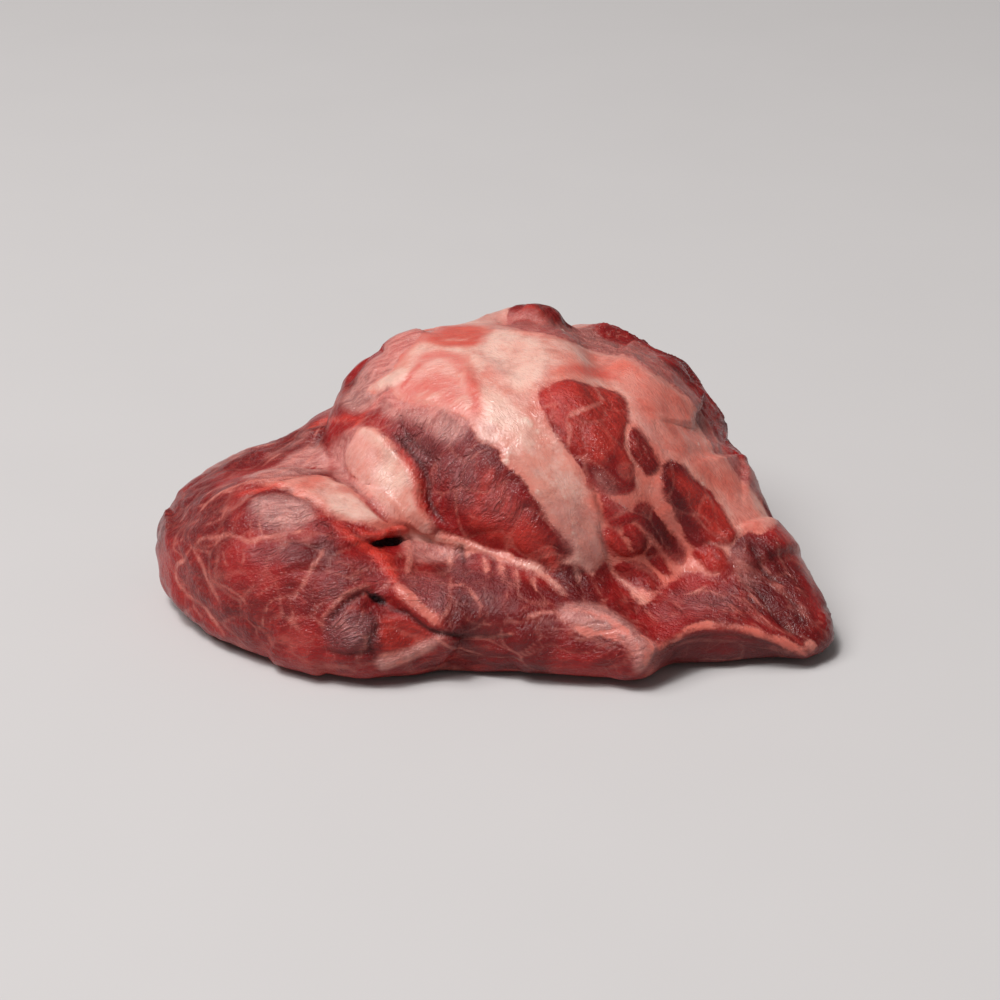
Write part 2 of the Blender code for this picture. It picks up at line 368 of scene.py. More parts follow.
# Septa: thin pale lines between the bundles of muscle.
CUSHION_LINES = (
    ((188, 546), (199, 537), (214, 535), (229, 533), (247, 540), (262, 535), (285, 532), (307, 528)),
    ((188, 546), (182, 558), (174, 565), (172, 577), (178, 588), (189, 599), (200, 606), (209, 618),
     (220, 632), (226, 640)),
    ((325, 545), (318, 556), (308, 571), (299, 588), (289, 602)),
    ((189, 548), (200, 565), (205, 581), (213, 595), (219, 604)),
)
SEPTA = (
    *lines("cushion_line", Tissue.SEPTUM, 1.3, *CUSHION_LINES, taper=0.12, strength=0.9),
    *lines("cushion_valley", Tissue.FORM, 6.0, *CUSHION_LINES, rise_mm=-0.5),
    *lines(
        "cushion_ridge", Tissue.SEPTUM, 1.5,
        ((371, 584), (356, 588), (343, 595), (333, 605), (323, 617), (320, 630)),
        ((300, 474), (276, 476), (250, 478), (228, 484), (205, 497), (190, 510)),
        rise_mm=0.3, taper=0.12, strength=0.8,
    ),
    *lines(
        "cushion_twig", Tissue.SEPTUM, 1.0,
        ((188, 546), (206, 545), (218, 538), (229, 533)),
        ((172, 537), (176, 547), (179, 561)),
        ((188, 590), (197, 602), (208, 614)),
        ((196, 525), (211, 519), (218, 516), (222, 508), (228, 501)),
        ((229, 533), (234, 521), (238, 514)),
        ((188, 546), (184, 534), (188, 522), (196, 510)),
        ((221, 549), (224, 562), (228, 568)),
        ((240, 545), (243, 556), (240, 566)),
        ((275, 581), (267, 588), (254, 595)),
        ((268, 600), (264, 614), (257, 634)),
        ((210, 583), (222, 586), (238, 596), (250, 610)),
        ((335, 560), (347, 565), (357, 572), (369, 584)),
        ((299, 588), (286, 596), (272, 600), (262, 612)),
        ((289, 602), (292, 618), (288, 634)),
        ((336, 652), (330, 667), (328, 675)),
        ((226, 640), (246, 650), (262, 660), (284, 668)),
        ((256, 512), (250, 522), (247, 540)),
        ((262, 535), (258, 524), (262, 512), (272, 502)),
        ((200, 606), (196, 594), (200, 582)),
        rise_mm=-0.08, taper=0.4, strength=0.75,
    ),
    *lines(
        "shoulder_line", Tissue.SEPTUM, 1.1,
        ((256, 460), (267, 454), (284, 450)),
        ((250, 464), (272, 461), (289, 458), (306, 448)),
        ((225, 466), (250, 468), (270, 470), (296, 466)),
        ((232, 474), (246, 475), (262, 477)),
        ((195, 494), (206, 484), (218, 478), (240, 474)),
        ((183, 508), (192, 501), (206, 497), (222, 489), (248, 484)),
        ((292, 458), (304, 450), (316, 440), (330, 428)),
        ((300, 466), (312, 458), (322, 446)),
        ((170, 520), (176, 510), (186, 498)),
        rise_mm=0.1, taper=0.4, strength=0.8,
    ),
    *lines(
        "front_line", Tissue.SEPTUM, 1.2,
        ((450, 574), (450, 590), (447, 610), (439, 621)),
        ((450, 588), (463, 585), (473, 595), (484, 607)),
        ((432, 636), (444, 645), (464, 655), (482, 660)),
        ((520, 622), (541, 613), (556, 613), (563, 620), (569, 632)),
        ((470, 641), (494, 639), (516, 634)),
        ((377, 657), (392, 654), (408, 648)),
        rise_mm=0.15, taper=0.25, strength=0.85,
    ),
    *lines(
        "front_twig", Tissue.SEPTUM, 0.9,
        ((510, 588), (505, 600), (504, 610)),
        ((536, 599), (528, 606), (518, 612)),
        ((476, 596), (480, 612), (477, 622)),
        ((462, 612), (470, 622), (482, 626), (500, 624)),
        ((464, 655), (480, 650), (496, 652)),
        ((548, 600), (556, 610), (558, 622)),
        ((420, 560), (426, 572), (436, 580), (450, 584)),
        ((409, 545), (410, 558), (408, 572)),
        ((590, 578), (598, 590), (604, 602)),
        taper=0.45, strength=0.7,
    ),
    *lines(
        "plate_line", Tissue.SEPTUM, 0.8,
        ((492, 501), (507, 512), (527, 520), (547, 531)),
        ((478, 516), (496, 526), (516, 534), (531, 535)),
        ((531, 535), (541, 545), (549, 546)),
        ((482, 455), (490, 466), (489, 476), (496, 490)),
        ((498, 500), (504, 486), (500, 470)),
        ((520, 500), (512, 512), (516, 526)),
        ((462, 505), (474, 515), (490, 520)),
        ((489, 476), (477, 482), (466, 494)),
        ((545, 552), (549, 546), (550, 538)),
        taper=0.5, strength=0.6,
    ),
    *lines(
        "window_line", Tissue.SEPTUM, 1.5,
        ((592, 384), (597, 394), (602, 403)),
        ((565, 418), (572, 412), (583, 408), (596, 403), (604, 398)),
        ((567, 416), (570, 428), (569, 440), (566, 448)),
        ((628, 419), (625, 432), (627, 447), (633, 459), (646, 472)),
        rise_mm=0.05, taper=0.3, strength=0.9,
    ),
    *lines(
        "window_twig", Tissue.SEPTUM, 0.8,
        ((590, 408), (598, 421), (607, 434), (617, 450)),
        ((583, 454), (594, 459), (606, 469), (624, 484)),
        ((576, 456), (585, 455), (592, 462)),
        ((549, 388), (563, 394), (579, 396), (596, 400)),
        ((596, 440), (602, 451), (612, 463)),
        ((604, 398), (613, 406), (620, 414)),
        ((572, 412), (580, 424), (588, 436)),
        ((693, 480), (688, 493), (692, 509), (701, 523), (713, 534)),
        ((692, 509), (704, 516), (716, 530)),
        ((640, 440), (646, 452), (650, 462)),
        ((590, 480), (602, 494), (606, 508)),
        taper=0.4, strength=0.65,
    ),
    *lines(
        "corner_line", Tissue.SEPTUM, 1.3,
        ((606, 546), (614, 559), (617, 575), (631, 590), (642, 606), (648, 620)),
        ((657, 628), (676, 617), (697, 613), (720, 612), (742, 600), (752, 596)),
        ((668, 608), (688, 596), (706, 588), (718, 580)),
        ((735, 594), (748, 601), (760, 614), (775, 628), (797, 640)),
        ((748, 540), (744, 556), (748, 574), (758, 592)),
        ((788, 592), (799, 589), (808, 597), (814, 612)),
        ((770, 536), (778, 554), (790, 572), (803, 592)),
        ((756, 552), (764, 566), (776, 580), (790, 596)),
        ((742, 578), (752, 596), (764, 606), (778, 616)),
        ((676, 602), (696, 594), (714, 594), (728, 600)),
        ((690, 612), (712, 608), (732, 614), (750, 612)),
        ((800, 600), (808, 616), (812, 632)),
        ((734, 552), (740, 570), (738, 586)),
        rise_mm=0.35, taper=0.35, strength=0.6,
    ),
    *lines(
        "edge_line", Tissue.SEPTUM, 1.3,
        ((480, 327), (513, 328), (547, 331), (587, 337), (618, 346), (638, 356), (659, 371), (679, 386),
         (697, 406), (712, 428), (724, 448)),
        ((560, 321), (600, 333), (640, 348), (676, 374)),
        ((700, 396), (716, 418), (728, 446)),
        rise_mm=0.5, taper=0.1, strength=0.7,
    ),
)

# Colours of the sheets and of the flesh, from large areas to small ones.
TONES = (
    *areas(
        "pale", Tissue.PALE, 2.0,
        ((478, 338), (500, 328), (540, 338), (548, 356), (536, 378), (520, 388), (500, 372), (486, 360)),
        ((478, 384), (500, 392), (520, 410), (536, 430), (530, 444), (510, 430), (486, 412)),
        ((326, 497), (339, 494), (353, 498), (366, 507), (378, 518), (364, 521), (348, 519), (334, 514),
         (326, 505)),
        ((364, 427), (376, 427), (386, 436), (384, 445), (370, 438)),
        ((388, 446), (398, 450), (407, 464), (406, 482), (396, 490), (382, 486), (380, 470), (388, 460)),
        ((398, 350), (416, 342), (440, 344), (470, 344), (490, 342), (480, 350), (440, 348), (416, 352)),
        soft_mm=3.5,
    ),
    *areas(
        "pale_spot", Tissue.PALE, 2.0,
        ((368, 385), (380, 375), (394, 367), (408, 366), (410, 372), (400, 380), (386, 386), (374, 388)),
        ((411, 396), (420, 389), (434, 388), (442, 393), (436, 400), (420, 402)),
        ((452, 398), (462, 392), (472, 398), (466, 406)),
        ((470, 352), (482, 352), (486, 364), (478, 368)),
        rise_mm=0.3, soft_mm=1.8,
    ),
    # A painted highlight: a short white streak of light near the top.
    Mark("pale_streak", Tissue.PALE, 1.3, ((445, 337), (456, 336), (468, 337)), soft_mm=1.2),
    *areas(
        "salmon", Tissue.SALMON, 2.0,
        ((586, 346), (616, 350), (642, 364), (672, 386), (694, 408), (714, 440), (736, 474), (756, 510),
         (758, 532), (742, 536), (726, 500), (700, 474), (678, 456), (656, 440), (642, 418), (632, 396),
         (618, 380), (596, 366)),
        ((552, 366), (570, 360), (594, 362), (618, 370), (612, 380), (590, 376), (566, 374)),
        ((440, 320), (405, 336), (376, 356), (364, 376), (372, 390), (384, 384), (392, 364), (412, 346),
         (440, 344), (480, 342), (490, 326)),
        ((466, 356), (474, 372), (484, 388), (488, 406), (474, 416), (464, 396)),
        ((630, 420), (648, 426), (668, 456), (680, 520), (700, 550), (690, 580), (650, 600), (622, 570),
         (600, 530), (590, 486), (636, 486)),
        ((286, 488), (306, 498), (330, 514), (360, 526), (396, 530), (420, 532), (404, 520), (380, 518),
         (350, 520), (322, 506), (300, 488)),
        ((252, 480), (286, 476), (322, 474), (322, 486), (300, 492), (268, 487)),
        ((374, 662), (414, 646), (444, 633), (436, 650), (396, 670)),
        ((552, 604), (590, 600), (630, 618), (662, 648), (640, 674), (600, 640), (566, 630)),
        ((630, 650), (650, 640), (700, 624), (760, 628), (820, 655), (812, 662), (740, 640), (690, 640),
         (650, 668), (634, 668)),
        soft_mm=5.0,
    ),
    *areas(
        "film", Tissue.FILM, 2.0,
        ((346, 404), (358, 378), (378, 354), (402, 336), (430, 322), (442, 328), (420, 344), (402, 360),
         (390, 378), (388, 396), (368, 408)),
        ((396, 376), (420, 366), (446, 370), (466, 380), (474, 398), (472, 416), (464, 432), (446, 438),
         (424, 424), (402, 416), (382, 410), (388, 390)),
        ((330, 468), (350, 476), (372, 494), (392, 516), (384, 514), (358, 492), (338, 480)),
        ((344, 440), (360, 428), (372, 434), (380, 456), (384, 486), (372, 496), (352, 478)),
        ((334, 446), (350, 430), (362, 424), (356, 446), (350, 468), (362, 488), (346, 480), (332, 470)),
        ((412, 352), (430, 346), (456, 350), (462, 366), (444, 372), (420, 366)),
        ((398, 532), (420, 540), (450, 544), (462, 552), (440, 560), (418, 562), (404, 552)),
        ((240, 468), (276, 458), (312, 446), (330, 452), (328, 468), (300, 472), (262, 476)),
        ((252, 498), (286, 494), (304, 502), (312, 516), (290, 526), (262, 520)),
        soft_mm=4.0, strength=0.8,
    ),
    # A grey film over sheet and muscle. The second area, along the top and right outline, is a painted
    # reflection of the pale backdrop on the grazing edge.
    *areas(
        "veil_and_edge_sheen", Tissue.VEIL_AND_EDGE_SHEEN, 2.0,
        ((546, 500), (562, 496), (584, 504), (598, 516), (604, 534), (604, 560), (584, 568), (568, 548),
         (554, 524)),
        ((484, 306), (545, 312), (600, 324), (652, 346), (700, 394), (734, 446), (764, 492), (804, 552),
         (812, 580), (796, 556), (774, 518), (749, 491), (731, 461), (708, 424), (687, 396), (655, 373),
         (623, 353), (566, 336), (527, 328), (486, 324)),
        soft_mm=3.5, strength=0.85,
    ),
    *lines(
        "veil_and_edge_sheen_streak", Tissue.VEIL_AND_EDGE_SHEEN, 4.0,
        ((632, 394), (642, 414), (650, 430), (662, 444), (674, 456)),
        ((596, 470), (612, 494), (630, 508)),
        ((488, 356), (496, 366), (510, 373)),
        ((730, 548), (742, 566), (752, 590)),
        ((322, 426), (340, 404), (356, 382), (372, 362), (392, 344)),
        ((264, 452), (290, 444), (312, 432)),
        soft_mm=3.5, strength=0.6,
    ),
    # Silver skin, painted with the sheen and glints of light on its wet wrinkles.
    *areas(
        "silverskin_sheen", Tissue.SILVERSKIN_SHEEN, 2.0,
        ((384, 430), (392, 414), (414, 410), (440, 418), (463, 424), (474, 438), (478, 462), (482, 490),
         (470, 506), (448, 498), (432, 486), (422, 466), (404, 450)),
        ((250, 505), (270, 497), (296, 499), (309, 510), (306, 524), (286, 529), (262, 530), (250, 520)),
        ((246, 545), (268, 541), (292, 543), (299, 552), (284, 562), (262, 562), (248, 556)),
        ((326, 618), (346, 613), (366, 616), (371, 630), (366, 644), (346, 648), (328, 642)),
        ((402, 578), (420, 574), (444, 582), (446, 604), (432, 614), (412, 600)),
        ((310, 520), (326, 522), (334, 536), (326, 546), (314, 536)),
        ((664, 604), (694, 590), (722, 592), (738, 608), (700, 614), (664, 624)),
        soft_mm=4.5, strength=0.8,
    ),
    # Fainter painted sheen on silver skin.
    *areas(
        "faint_silver", Tissue.SILVERSKIN_SHEEN, 2.0,
        ((462, 462), (480, 446), (500, 470), (522, 500), (530, 516), (510, 524), (480, 516), (450, 500)),
        ((340, 560), (372, 564), (384, 590), (356, 590), (336, 600), (320, 590)),
        ((456, 552), (484, 560), (512, 574), (500, 600), (470, 606), (452, 580)),
        soft_mm=5.0, strength=0.45,
    ),
    # Darker muscle. The first two areas, over the lower front, and the ninth, under the hem lip, are
    # painted shade.
    *areas(
        "dark", Tissue.DARK, 2.0,
        ((440, 566), (480, 572), (540, 584), (566, 600), (562, 640), (540, 676), (500, 676), (460, 664),
         (440, 640), (434, 600)),
        ((448, 572), (500, 580), (548, 592), (552, 618), (510, 632), (462, 626)),
        ((396, 432), (430, 434), (441, 450), (436, 464), (414, 464), (400, 450)),
        ((576, 452), (600, 458), (622, 476), (618, 490), (598, 482)),
        ((662, 466), (682, 472), (696, 500), (706, 532), (692, 544), (676, 522)),
        ((632, 508), (650, 506), (684, 548), (680, 558), (656, 538)),
        ((738, 540), (770, 545), (800, 575), (815, 620), (790, 628), (756, 600)),
        ((346, 403), (358, 391), (370, 388), (370, 399), (356, 408)),
        ((652, 664), (690, 640), (740, 638), (790, 652), (806, 664), (740, 662)),
        ((560, 562), (592, 574), (606, 568), (608, 592), (600, 606), (574, 604), (560, 594)),
        ((326, 616), (368, 614), (372, 646), (330, 650)),
        ((278, 545), (330, 545), (334, 560), (300, 566)),
        soft_mm=5.0, strength=0.75,
    ),
    Patch(
        "red_rim_upper", Tissue.BRIGHT, 2.0,
        ((340, 528), (352, 533), (368, 541), (384, 552), (394, 566), (397, 584), (390, 582), (380, 568),
         (366, 554), (350, 542)),
        rise_mm=0.6, soft_mm=1.6, strength=0.95,
    ),
    Mark("red_rim_lower", Tissue.FASCIA, 3.2, RED_RIM, rise_mm=0.7),
    *lines(
        "red_rim_tint", Tissue.BRIGHT, 4.0,
        RED_RIM,
        ((330, 522), (342, 530), (352, 536)),
        soft_mm=2.0, strength=0.45,
    ),
    Patch(
        "red_fold", Tissue.BRIGHT, 1.2,
        ((352, 526), (370, 531), (386, 527), (400, 523), (408, 527), (402, 533), (388, 534), (376, 540),
         (364, 536)),
        rise_mm=1.0, soft_mm=1.2,
    ),
    *lines(
        "red_streak", Tissue.BRIGHT, 2.0,
        ((306, 432), (322, 424), (338, 419), (352, 417), (360, 418)),
        ((352, 430), (362, 414), (374, 402), (388, 390), (400, 386)),
        ((400, 388), (408, 377), (415, 367), (424, 360)),
        ((233, 493), (253, 488), (281, 485)),
        ((388, 392), (396, 400), (402, 408)),
        rise_mm=0.2, soft_mm=1.6, strength=0.75,
    ),
    *areas(
        "red_flesh", Tissue.BRIGHT, 1.5,
        ((423, 336), (438, 326), (458, 322), (474, 324), (488, 333), (482, 340), (464, 342), (440, 341)),
        ((419, 356), (429, 349), (444, 347), (456, 351), (463, 360), (463, 368), (455, 366), (448, 358),
         (436, 356), (424, 361)),
        ((430, 369), (445, 372), (459, 377), (456, 383), (442, 380), (434, 376)),
        ((440, 384), (444, 385), (447, 398), (443, 400)),
        ((429, 403), (437, 406), (436, 414), (430, 410)),
        ((447, 408), (456, 411), (464, 420), (454, 415)),
        ((468, 374), (480, 380), (482, 400), (472, 410), (468, 394)),
        ((603, 532), (613, 531), (626, 543), (632, 554), (620, 555), (609, 548)),
        ((618, 447), (626, 450), (632, 462), (637, 472), (628, 478), (620, 464)),
        SIDE_WINDOW,
        ((504, 314), (516, 309), (530, 304), (539, 306), (552, 315), (541, 318), (521, 315)),
        ((380, 620), (400, 616), (420, 626), (430, 638), (410, 648), (385, 652)),
        ((566, 364), (592, 362), (610, 368), (618, 376), (596, 374)),
        ((541, 393), (557, 380), (592, 384), (620, 394), (626, 418), (618, 440), (600, 460), (577, 452),
         (556, 424)),
        ((668, 470), (690, 478), (716, 500), (733, 536), (712, 540), (694, 510)),
        ((486, 466), (504, 486), (530, 518), (552, 546), (556, 566), (524, 552), (490, 536), (468, 514)),
        soft_mm=3.0, strength=0.55,
    ),
    *areas(
        "striped_red", Tissue.BRIGHT, 2.0,
        ((398, 384), (420, 374), (446, 378), (464, 388), (466, 406), (440, 404), (410, 402)),
        ((370, 360), (392, 344), (416, 330), (430, 330), (414, 348), (392, 362), (376, 378)),
        soft_mm=5.0, strength=0.6,
    ),
    *lines(
        "rim_stripe", Tissue.BRIGHT, 2.6,
        ((414, 366), (426, 355), (442, 350), (456, 354), (464, 366)),
        ((424, 376), (440, 380), (456, 386)),
        ((468, 372), (474, 388), (470, 404)),
        ((398, 338), (416, 334), (436, 334), (456, 331)),
        ((384, 352), (400, 346), (418, 340)),
        ((360, 378), (374, 360), (392, 346)),
        soft_mm=3.0, strength=0.6,
    ),
    *lines(
        "right_edge_red", Tissue.BRIGHT, 2.4,
        ((720, 414), (727, 428), (732, 446)),
        ((780, 524), (790, 537), (798, 553)),
        soft_mm=2.0, strength=0.7,
    ),
    *lines(
        "flap_red_edge", Tissue.BRIGHT, 2.2,
        ((394, 440), (405, 454), (414, 468), (418, 484), (419, 500), (428, 516)),
        soft_mm=2.0, strength=0.8,
    ),
    # Painted shade along the top and right edges, where the surface turns away.
    *lines(
        "edge_dark_streak", Tissue.DARK, 3.0,
        ((637, 347), (655, 352), (669, 361), (683, 370), (693, 381)),
        ((541, 309), (565, 318), (600, 327), (630, 340)),
        ((722, 424), (728, 440), (734, 452)),
        soft_mm=1.6, strength=0.6,
    ),
    *lines(
        "fleck", Tissue.FAT, 1.2,
        ((534, 354), (536, 356)),
        ((489, 415), (496, 417)),
        ((523, 414), (527, 419), (532, 424)),
        ((535, 426), (540, 431)),
        ((562, 495), (565, 497)),
        ((571, 521), (573, 524)),
        ((702, 435), (704, 440)),
        ((702, 480), (705, 482)),
        ((505, 449), (509, 453)),
        ((572, 530), (573, 533)),
        ((494, 409), (497, 411)),
        ((505, 455), (508, 462)),
        ((535, 488), (537, 491)),
        rise_mm=0.25, taper=0.1,
    ),
    *lines(
        "nodule", Tissue.FASCIA, 1.8,
        ((414, 545), (420, 548)),
        ((426, 543), (431, 549)),
        ((437, 548), (443, 555)),
        ((396, 552), (400, 559)),
        rise_mm=0.5,
    ),
)

# Creases, folds and pockets. The pockets, the creases and the flap shadow are painted near black as shade
# where they sink the skin.
FOLDS = (
    Patch(
        "upper_pocket", Tissue.HOLLOW_SHADE, 1.6,
        ((369, 543), (382, 538), (397, 535), (402, 538), (398, 546), (386, 546), (375, 546)),
        rise_mm=-2.6, soft_mm=1.0,
    ),
    Patch(
        "lower_pocket", Tissue.HOLLOW_SHADE, 1.4,
        ((366, 592), (375, 593), (385, 600), (383, 606), (374, 604), (369, 598)),
        rise_mm=-2.0, soft_mm=1.0,
    ),
    Mark("upright_fold", Tissue.SEPTUM, 2.0, ((401, 532), (406, 543), (408, 560), (405, 575)), 0.9),
    *lines(
        "deep_crease", Tissue.HOLLOW_SHADE, 1.3,
        ((382, 606), (392, 610), (406, 613), (417, 622), (429, 631), (444, 635), (470, 638)),
        ((372, 589), (357, 595), (345, 602), (336, 611), (328, 622)),
        ((372, 612), (374, 630), (369, 646), (376, 660)),
        ((748, 544), (757, 557), (766, 573), (784, 584)),
        ((750, 574), (757, 591), (770, 609), (784, 625), (799, 636)),
        rise_mm=-1.0, strength=0.65,
    ),
    Mark(
        "flap_shadow", Tissue.HOLLOW_SHADE, 1.6,
        ((392, 430), (404, 441), (415, 454), (424, 468), (429, 484), (429, 498), (436, 511), (448, 525)),
        rise_mm=-0.9, strength=0.5,
    ),
    *lines(
        "crease", Tissue.HOLLOW_SHADE, 1.2,
        ((278, 540), (298, 542), (315, 545), (330, 541), (333, 533), (327, 524), (312, 520)),
        ((322, 650), (345, 655), (366, 654), (378, 657)),
        ((594, 484), (597, 500), (602, 516), (600, 530), (605, 548), (610, 566)),
        ((444, 635), (461, 639), (480, 639), (500, 640), (516, 637)),
        ((780, 587), (794, 601), (805, 619), (811, 628)),
        ((652, 657), (674, 646), (694, 638), (730, 635), (760, 640), (790, 651)),
        ((398, 408), (406, 430), (420, 446), (436, 458)),
        ((462, 544), (463, 560), (468, 574)),
        ((492, 556), (494, 570), (492, 582)),
        ((508, 566), (510, 580)),
        ((762, 548), (776, 562), (792, 580)),
        ((690, 600), (712, 598), (736, 604), (752, 616)),
        ((768, 540), (780, 556), (800, 584), (812, 606)),
        ((738, 566), (746, 584), (752, 600), (766, 618)),
        ((668, 612), (690, 604), (716, 606), (738, 612)),
        rise_mm=-0.6, strength=0.45,
    ),
    *lines(
        "soft_fold", Tissue.FORM, 3.0,
        ((464, 361), (470, 380), (482, 394), (500, 404)),
        ((488, 356), (500, 370), (520, 378)),
        ((540, 400), (548, 424), (566, 452), (580, 474), (590, 494), (600, 516)),
        ((662, 470), (670, 500), (688, 534), (706, 560)),
        rise_mm=0.6,
    ),
    *lines(
        "raised_side", Tissue.FORM, 16.0,
        ((384, 350), (404, 338), (426, 330)),
        ((742, 468), (757, 486), (772, 506), (788, 532)),
        rise_mm=2.0,
    ),
    Mark("raised_tip_side", Tissue.FORM, 18.0, ((762, 518), (774, 534), (788, 554)), 2.6),
    Mark("raised_neck", Tissue.FORM, 24.0, ((300, 440), (322, 424), (338, 408), (352, 394)), 1.5),
    Mark("filled_neck", Tissue.FORM, 12.0, ((316, 430), (320, 446), (322, 462)), 1.3),
    *lines(
        "lowered_side", Tissue.FORM, 26.0,
        ((164, 530), (182, 496), (205, 474), (232, 463), (262, 450)),
        ((598, 322), (612, 328), (632, 338)),
        ((700, 404), (716, 430), (728, 454)),
        ((438, 668), (462, 672), (500, 672), (524, 670)),
        rise_mm=-2.8,
    ),
    Mark("filled_front", Tissue.FORM, 16.0, ((268, 646), (294, 658), (322, 665)), 2.2),
    *lines("nub_flank", Tissue.FORM, 6.0, ((500, 318), (512, 314)), ((552, 312), (568, 318)), rise_mm=-1.2),
    Mark("nub_peak", Tissue.FORM, 3.4, ((522, 313), (531, 305), (542, 312)), 1.9),
)

# Where the fibres run up to the right or down to the right. Elsewhere they run level.
FIBRES = (
    *areas(
        "rising_fibres", Tissue.RISING, 2.0,
        ((335, 440), (365, 415), (400, 400), (450, 405), (500, 450), (535, 500), (568, 550), (612, 590),
         (580, 620), (520, 650), (430, 630), (436, 560), (400, 530), (350, 490)),
        soft_mm=9.0,
    ),
    *areas(
        "falling_fibres", Tissue.FALLING, 2.0,
        ((500, 330), (600, 350), (700, 400), (790, 520), (830, 640), (760, 640), (690, 600), (640, 620),
         (600, 570), (571, 545), (545, 500), (510, 450), (480, 415), (475, 365)),
        ((540, 300), (640, 340), (720, 410), (800, 540), (830, 620), (760, 560), (690, 440), (600, 360)),
        soft_mm=9.0,
    ),
)

# What the photograph doesn't show: the sheet goes on over the crest and breaks up into bands.
BACK = (
    *areas(
        "back_sheet", Tissue.FASCIA, 2.0,
        ((334, 448), (366, 436), (402, 430), (440, 422), (472, 408), (498, 384), (530, 376), (590, 402),
         (604, 426), (582, 444), (556, 466), (548, 504), (532, 548), (502, 590), (470, 612), (446, 600),
         (440, 560), (446, 516), (426, 488), (390, 476), (352, 482), (322, 508), (296, 550), (270, 590),
         (252, 606), (242, 588), (258, 546), (280, 506), (302, 464)),
        ((664, 474), (690, 482), (730, 490), (744, 500), (720, 506), (684, 498)),
        rise_mm=0.4, eye=BEHIND,
    ),
    *areas(
        "back_window", Tissue.WINDOW, 2.4,
        ((452, 430), (484, 420), (512, 430), (526, 452), (520, 490), (502, 520), (484, 516), (468, 480),
         (454, 456)),
        ((476, 540), (496, 530), (508, 540), (496, 566), (478, 572)),
        ((338, 430), (366, 420), (396, 430), (388, 446), (356, 454), (336, 450)),
        ((276, 520), (292, 500), (300, 512), (284, 544), (270, 552)),
        rise_mm=0.5, eye=BEHIND,
    ),
    *areas(
        "back_salmon", Tissue.SALMON, 2.0,
        ((240, 584), (270, 500), (310, 440), (360, 424), (400, 440), (340, 480), (284, 570), (250, 606)),
        ((440, 520), (548, 480), (540, 540), (500, 600), (450, 610)),
        soft_mm=6.0, eye=BEHIND,
    ),
    *areas(
        "back_pale", Tissue.PALE, 2.0,
        ((500, 388), (540, 388), (570, 408), (556, 424), (520, 424), (470, 414), (430, 414)),
        soft_mm=5.0, strength=0.8, eye=BEHIND,
    ),
    *areas(
        "back_film", Tissue.FILM, 2.0,
        ((606, 430), (650, 444), (676, 500), (668, 560), (640, 560), (620, 500)),
        ((380, 590), (440, 610), (520, 620), (540, 660), (480, 690), (400, 680), (360, 640)),
        ((760, 470), (810, 490), (830, 540), (800, 580), (770, 540)),
        soft_mm=8.0, strength=0.6, eye=BEHIND,
    ),
    # Painted sheen on silver skin at the back.
    *areas(
        "back_silver", Tissue.SILVERSKIN_SHEEN, 2.0,
        ((560, 470), (610, 460), (646, 520), (640, 590), (590, 620), (550, 580), (548, 520)),
        ((690, 470), (750, 470), (790, 520), (770, 560), (710, 550), (680, 510)),
        ((320, 520), (380, 500), (430, 520), (430, 580), (380, 610), (330, 590)),
        soft_mm=7.0, strength=0.7, eye=BEHIND,
    ),
    *areas(
        "back_dark", Tissue.DARK, 2.0,
        ((560, 600), (640, 600), (640, 650), (560, 680), (520, 650)),
        ((240, 610), (300, 600), (360, 650), (380, 700), (300, 700), (250, 660)),
        ((700, 600), (780, 590), (830, 600), (780, 640), (710, 650)),
        ((450, 440), (480, 424), (500, 470), (490, 510), (466, 480)),
        soft_mm=9.0, strength=0.7, eye=BEHIND,
    ),
    *lines(
        "back_line", Tissue.SEPTUM, 1.4,
        ((470, 612), (490, 640), (498, 672), (490, 704)),
        ((446, 600), (410, 612), (370, 640), (340, 680)),
        ((548, 504), (580, 520), (612, 560), (640, 610)),
        ((322, 500), (330, 540), (322, 590), (300, 640), (292, 680)),
        ((322, 590), (360, 600), (410, 612)),
        ((640, 448), (664, 490), (668, 540), (656, 600)),
        ((668, 540), (710, 556), (760, 560), (810, 580)),
        ((710, 556), (724, 590), (716, 630)),
        ((720, 460), (760, 480), (800, 520), (826, 560)),
        ((760, 480), (756, 520), (760, 560)),
        ((580, 520), (570, 570), (546, 620), (540, 660)),
        ((612, 560), (590, 610), (596, 650)),
        rise_mm=0.15, strength=0.85, eye=BEHIND,
    ),
    *lines(
        "back_twig", Tissue.SEPTUM, 0.9,
        ((454, 456), (470, 452), (488, 460), (520, 458)),
        ((488, 460), (490, 484), (502, 506)),
        ((350, 540), (372, 552), (396, 548), (424, 560)),
        ((372, 552), (376, 580), (396, 600)),
        ((520, 640), (540, 620), (556, 600), (590, 590)),
        ((690, 480), (720, 494), (744, 490)),
        ((720, 494), (722, 520), (736, 548)),
        ((780, 580), (790, 604), (806, 616)),
        ((410, 640), (440, 650), (470, 644), (490, 640)),
        ((260, 620), (280, 640), (292, 680)),
        ((430, 690), (450, 670), (470, 644)),
        taper=0.4, strength=0.7, eye=BEHIND,
    ),
    # Painted shade in creases at the back, where they sink the skin.
    *lines(
        "back_crease", Tissue.HOLLOW_SHADE, 1.3,
        ((648, 436), (670, 490), (674, 540), (660, 600), (650, 640)),
        ((430, 440), (440, 470), (452, 520), (444, 570)),
        ((556, 600), (546, 650), (552, 684)),
        ((236, 600), (250, 640), (276, 672)),
        rise_mm=-0.9, strength=0.4, eye=BEHIND,
    ),
    *lines(
        "back_fleck", Tissue.FAT, 1.2,
        ((556, 430), (560, 434)),
        ((540, 500), (541, 505)),
        ((462, 590), (464, 596)),
        ((430, 380), (436, 381)),
        ((300, 470), (303, 466)),
        ((650, 440), (656, 442)),
        rise_mm=0.25, taper=0.1, eye=BEHIND,
    ),
    Patch(
        "back_fibres", Tissue.FALLING, 2.0,
        ((300, 430), (420, 470), (540, 520), (560, 700), (400, 730), (240, 660), (220, 560)),
        soft_mm=12.0, eye=BEHIND,
    ),
)

MARKS = SHEETS + WINDOWS + SEPTA + TONES + FOLDS + FIBRES + BACK


